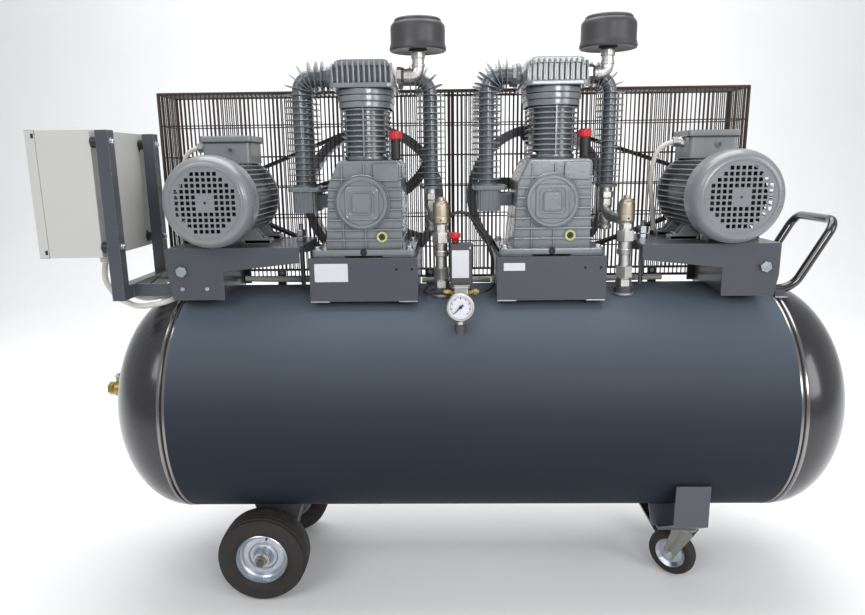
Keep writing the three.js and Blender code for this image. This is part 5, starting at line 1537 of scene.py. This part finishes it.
# ------------------------------------------------------------------ cables and small tubes
def power_cables():
    """Two leads that hang from the cabinet, and a pair laid along the tank behind the brackets."""
    s = Shape()
    hang = [(-0.008, -0.002, -0.041), (0.022, -0.006, -0.087), (0.075, -0.012, -0.1095), (0.14, -0.008, -0.1),
            (0.20, 0.05, -0.079)]
    for y, lift in zip(CABLE_Y, (0.0, 0.013)):
        start = Vector((CABLE_X, y, CASE.z0))
        loop = [start + Vector((dx, dy, dz + lift)) for dx, dy, dz in hang]
        s.tube([start + Z * 0.004, *loop], 0.0068, CABLE, 0.022)
    left, right = box("pump_bracket_left"), box("pump_bracket_right")
    for k in range(2):
        y = left.y1 - 0.05 + 0.018 * k
        z = shell_z(y) + 0.009
        for run in ([(left.x0 - 0.21, y - 0.02, z + 0.012), (left.x0 - 0.14, y, z + 0.006),
                     (left.x0 - 0.005, y, z + 0.004)],
                    [(left.x1 + 0.004, y, z), (left.x1 + 0.094, y, z + 0.002), (right.x0 - 0.004, y, z)],
                    [(right.x1 + 0.004, y, z), (right.x1 + 0.084, y, z + 0.002),
                     (right.x1 + 0.194, y, z + 0.004)]):
            s.tube(run, 0.0078, CABLE, 0.03)
    s.piece("power_cables", "frame", slot="cabinet_paint")


def motor_cable(unit):
    """Lead that leaves the terminal box and bends down into a grommet in the motor's plate."""
    at = pivot(f"rotor_turn_{unit}")
    top, start, foot = at.z + 0.13, at.x - 0.0865, upright(at.x - 0.1085, 0.07)
    s = Shape()
    s.tube([(start, 0.02, top), (start - 0.04, 0.02, top - 0.012), (start - 0.05, 0.035, top - 0.09),
            (start - 0.026, 0.066, top - 0.2), foot + Z * (SHEET_TOP + 0.002)], 0.006, CABLE, 0.03)
    s.rod(foot, Z, 0.0105, SHEET_TOP + 0.0002, SHEET_TOP + 0.011, BLACK, 24, 0.002)
    s.piece(f"motor_cable_{unit}", f"motor_{unit}", slot="cabinet_paint")


def control_tubes():
    """Thin unloader tubes from the pressure switch and across to the right pump."""
    port, level, front = Vector((box("pressure_switch").x, SWITCH_Y, SWITCH_PORT_Z)), SWITCH_PORT_Z, SWITCH_Y
    stack, neck = STACK_X["left"], box("outlet_stack_left").z0 + 0.152
    side = box("pump_bracket_right").x0 - 0.006
    s = Shape()
    s.tube([port - X * 0.044, (port.x - 0.062, front + 0.001, level),
            (stack - 0.045, front + 0.005, level - 0.004), (stack - 0.04, front + 0.04, level + 0.006),
            (stack - 0.019, STACK_Y, level + 0.018)], 0.0032, BLACK, 0.012, 12)
    s.tube([port + X * 0.044, (port.x + 0.062, front + 0.001, level),
            (port.x + 0.078, front + 0.035, level + 0.004), (port.x + 0.0895, front + 0.06, level + 0.014)],
           0.0032, BLACK, 0.012, 12)
    s.tube([(stack + 0.012, STACK_Y, neck + 0.012), (stack + 0.03, front + 0.044, neck + 0.038),
            (stack + 0.066, front + 0.05, neck + 0.036), (stack + 0.11, front + 0.046, neck - 0.02),
            (side, front + 0.04, neck - 0.076), (side - 0.001, front + 0.04, neck - 0.12)],
           0.0042, BLACK, 0.018, 12)
    s.piece("control_tubes", "frame", slot="black_plastic")


# ------------------------------------------------------------------ studio
def stage_floor():
    """Pale floor that curves up behind."""
    reach, turn_at, rise, curve, steps, half = 9.0, 3.2, 5.0, 2.2, 16, 14
    turns = [math.pi / 2 * i / steps for i in range(1, steps + 1)]
    profile = [(-reach, 0.0), (turn_at, 0.0)]
    profile += [(turn_at + curve * math.sin(a), curve - curve * math.cos(a)) for a in turns]
    profile.append((turn_at + curve, rise + curve))
    count = len(profile)
    faces = [[i, i + 1, count + i + 1, count + i] for i in range(count - 1)]
    mesh = bpy.data.meshes.new("floor")
    mesh.from_pydata([(x, y, z) for x in (-half, half) for y, z in profile], [], faces)
    paint = finish("studio_floor", rgb(240, 240, 240), 0.7, tint=0.01, cloud=1.5, grain=60, bump=0.02)
    mesh.materials.append(paint)
    mesh.polygons.foreach_set("use_smooth", [True] * len(faces))
    floor = bpy.data.objects.new("floor", mesh)
    bpy.context.scene.collection.objects.link(floor)


def surroundings():
    """Even pale light from all round."""
    world = bpy.data.worlds.new("studio_air")
    bpy.context.scene.world = world
    world.use_nodes = True
    air = world.node_tree.nodes["Background"]
    air.inputs["Color"].default_value = (0.95, 0.97, 1.0, 1.0)
    air.inputs["Strength"].default_value = 0.5


def softbox(name, at, target, width, height, power):
    """Rectangular lamp at a place, turned to its target."""
    data = bpy.data.lights.new(name, "AREA")
    data.shape = "RECTANGLE"
    data.size, data.size_y, data.energy = width, height, power
    lamp = bpy.data.objects.new(name, data)
    lamp.location = at
    lamp.rotation_euler = (Vector(target) - Vector(at)).to_track_quat("-Z", "Y").to_euler()
    bpy.context.scene.collection.objects.link(lamp)


def lights():
    """Three lamps from the front, a broad one overhead and one for the backdrop."""
    softbox("key_light", (-2.0, -2.8, 2.9), (0, 0, 0.8), 2.0, 1.4, 38)
    softbox("front_light", (0.7, -2.3, 1.5), (0.1, 0, 0.85), 0.7, 0.45, 16)
    softbox("fill_light", (3.0, -2.4, 2.0), (0.5, 0, 0.8), 1.4, 2.0, 42)
    softbox("top_light", (0, 0.4, 3.7), (0, 0, 0.8), 3.4, 2.4, 110)
    softbox("backdrop_light", (0, 2.2, 4.2), (0, 5.0, 1.6), 6.0, 1.5, 130)


def camera():
    """Wide lens close to the front, tipped down and turned a little to the left."""
    data = bpy.data.cameras.new("camera")
    data.sensor_width, data.lens = 36.0, 28.44
    place_at = (-0.027, -1.801, 1.125)
    pitch, yaw, roll = math.radians(12.0), math.radians(-1.1), math.radians(-0.69)
    ahead = Vector((math.sin(yaw) * math.cos(pitch), math.cos(yaw) * math.cos(pitch), -math.sin(pitch)))
    level = Vector((math.cos(yaw), -math.sin(yaw), 0))
    lift = level.cross(ahead)
    right = level * math.cos(roll) + lift * math.sin(roll)
    up = lift * math.cos(roll) - level * math.sin(roll)
    view = bpy.data.objects.new("camera", data)
    view.matrix_world = Matrix.Translation(place_at) @ Matrix((right, up, -ahead)).transposed().to_4x4()
    bpy.context.scene.collection.objects.link(view)
    bpy.context.scene.camera = view
    bpy.context.scene.view_settings.view_transform = "Standard"


tank()
handle()
brackets()
belt_guard()
enclosure()
pressure_switch()
gauge()
outlet_valve()
power_cables()
for unit in UNITS:
    motor_cable(unit)
control_tubes()
for end in ("front", "back"):
    wheel(end)
    caster(end)
for unit in UNITS:
    crankcase(unit)
    crank_cover(unit)
    cylinder(unit)
    cylinder_head(unit)
    intercooler(unit)
    aftercooler(unit)
    air_intake(unit)
    breather(unit)
    outlet_stack(unit)
    crankshaft(unit)
    flywheel(unit)
    motor_housing(unit)
    fan_cover(unit)
    rotor(unit)
    belts(unit)
stage_floor()
surroundings()
lights()
camera()
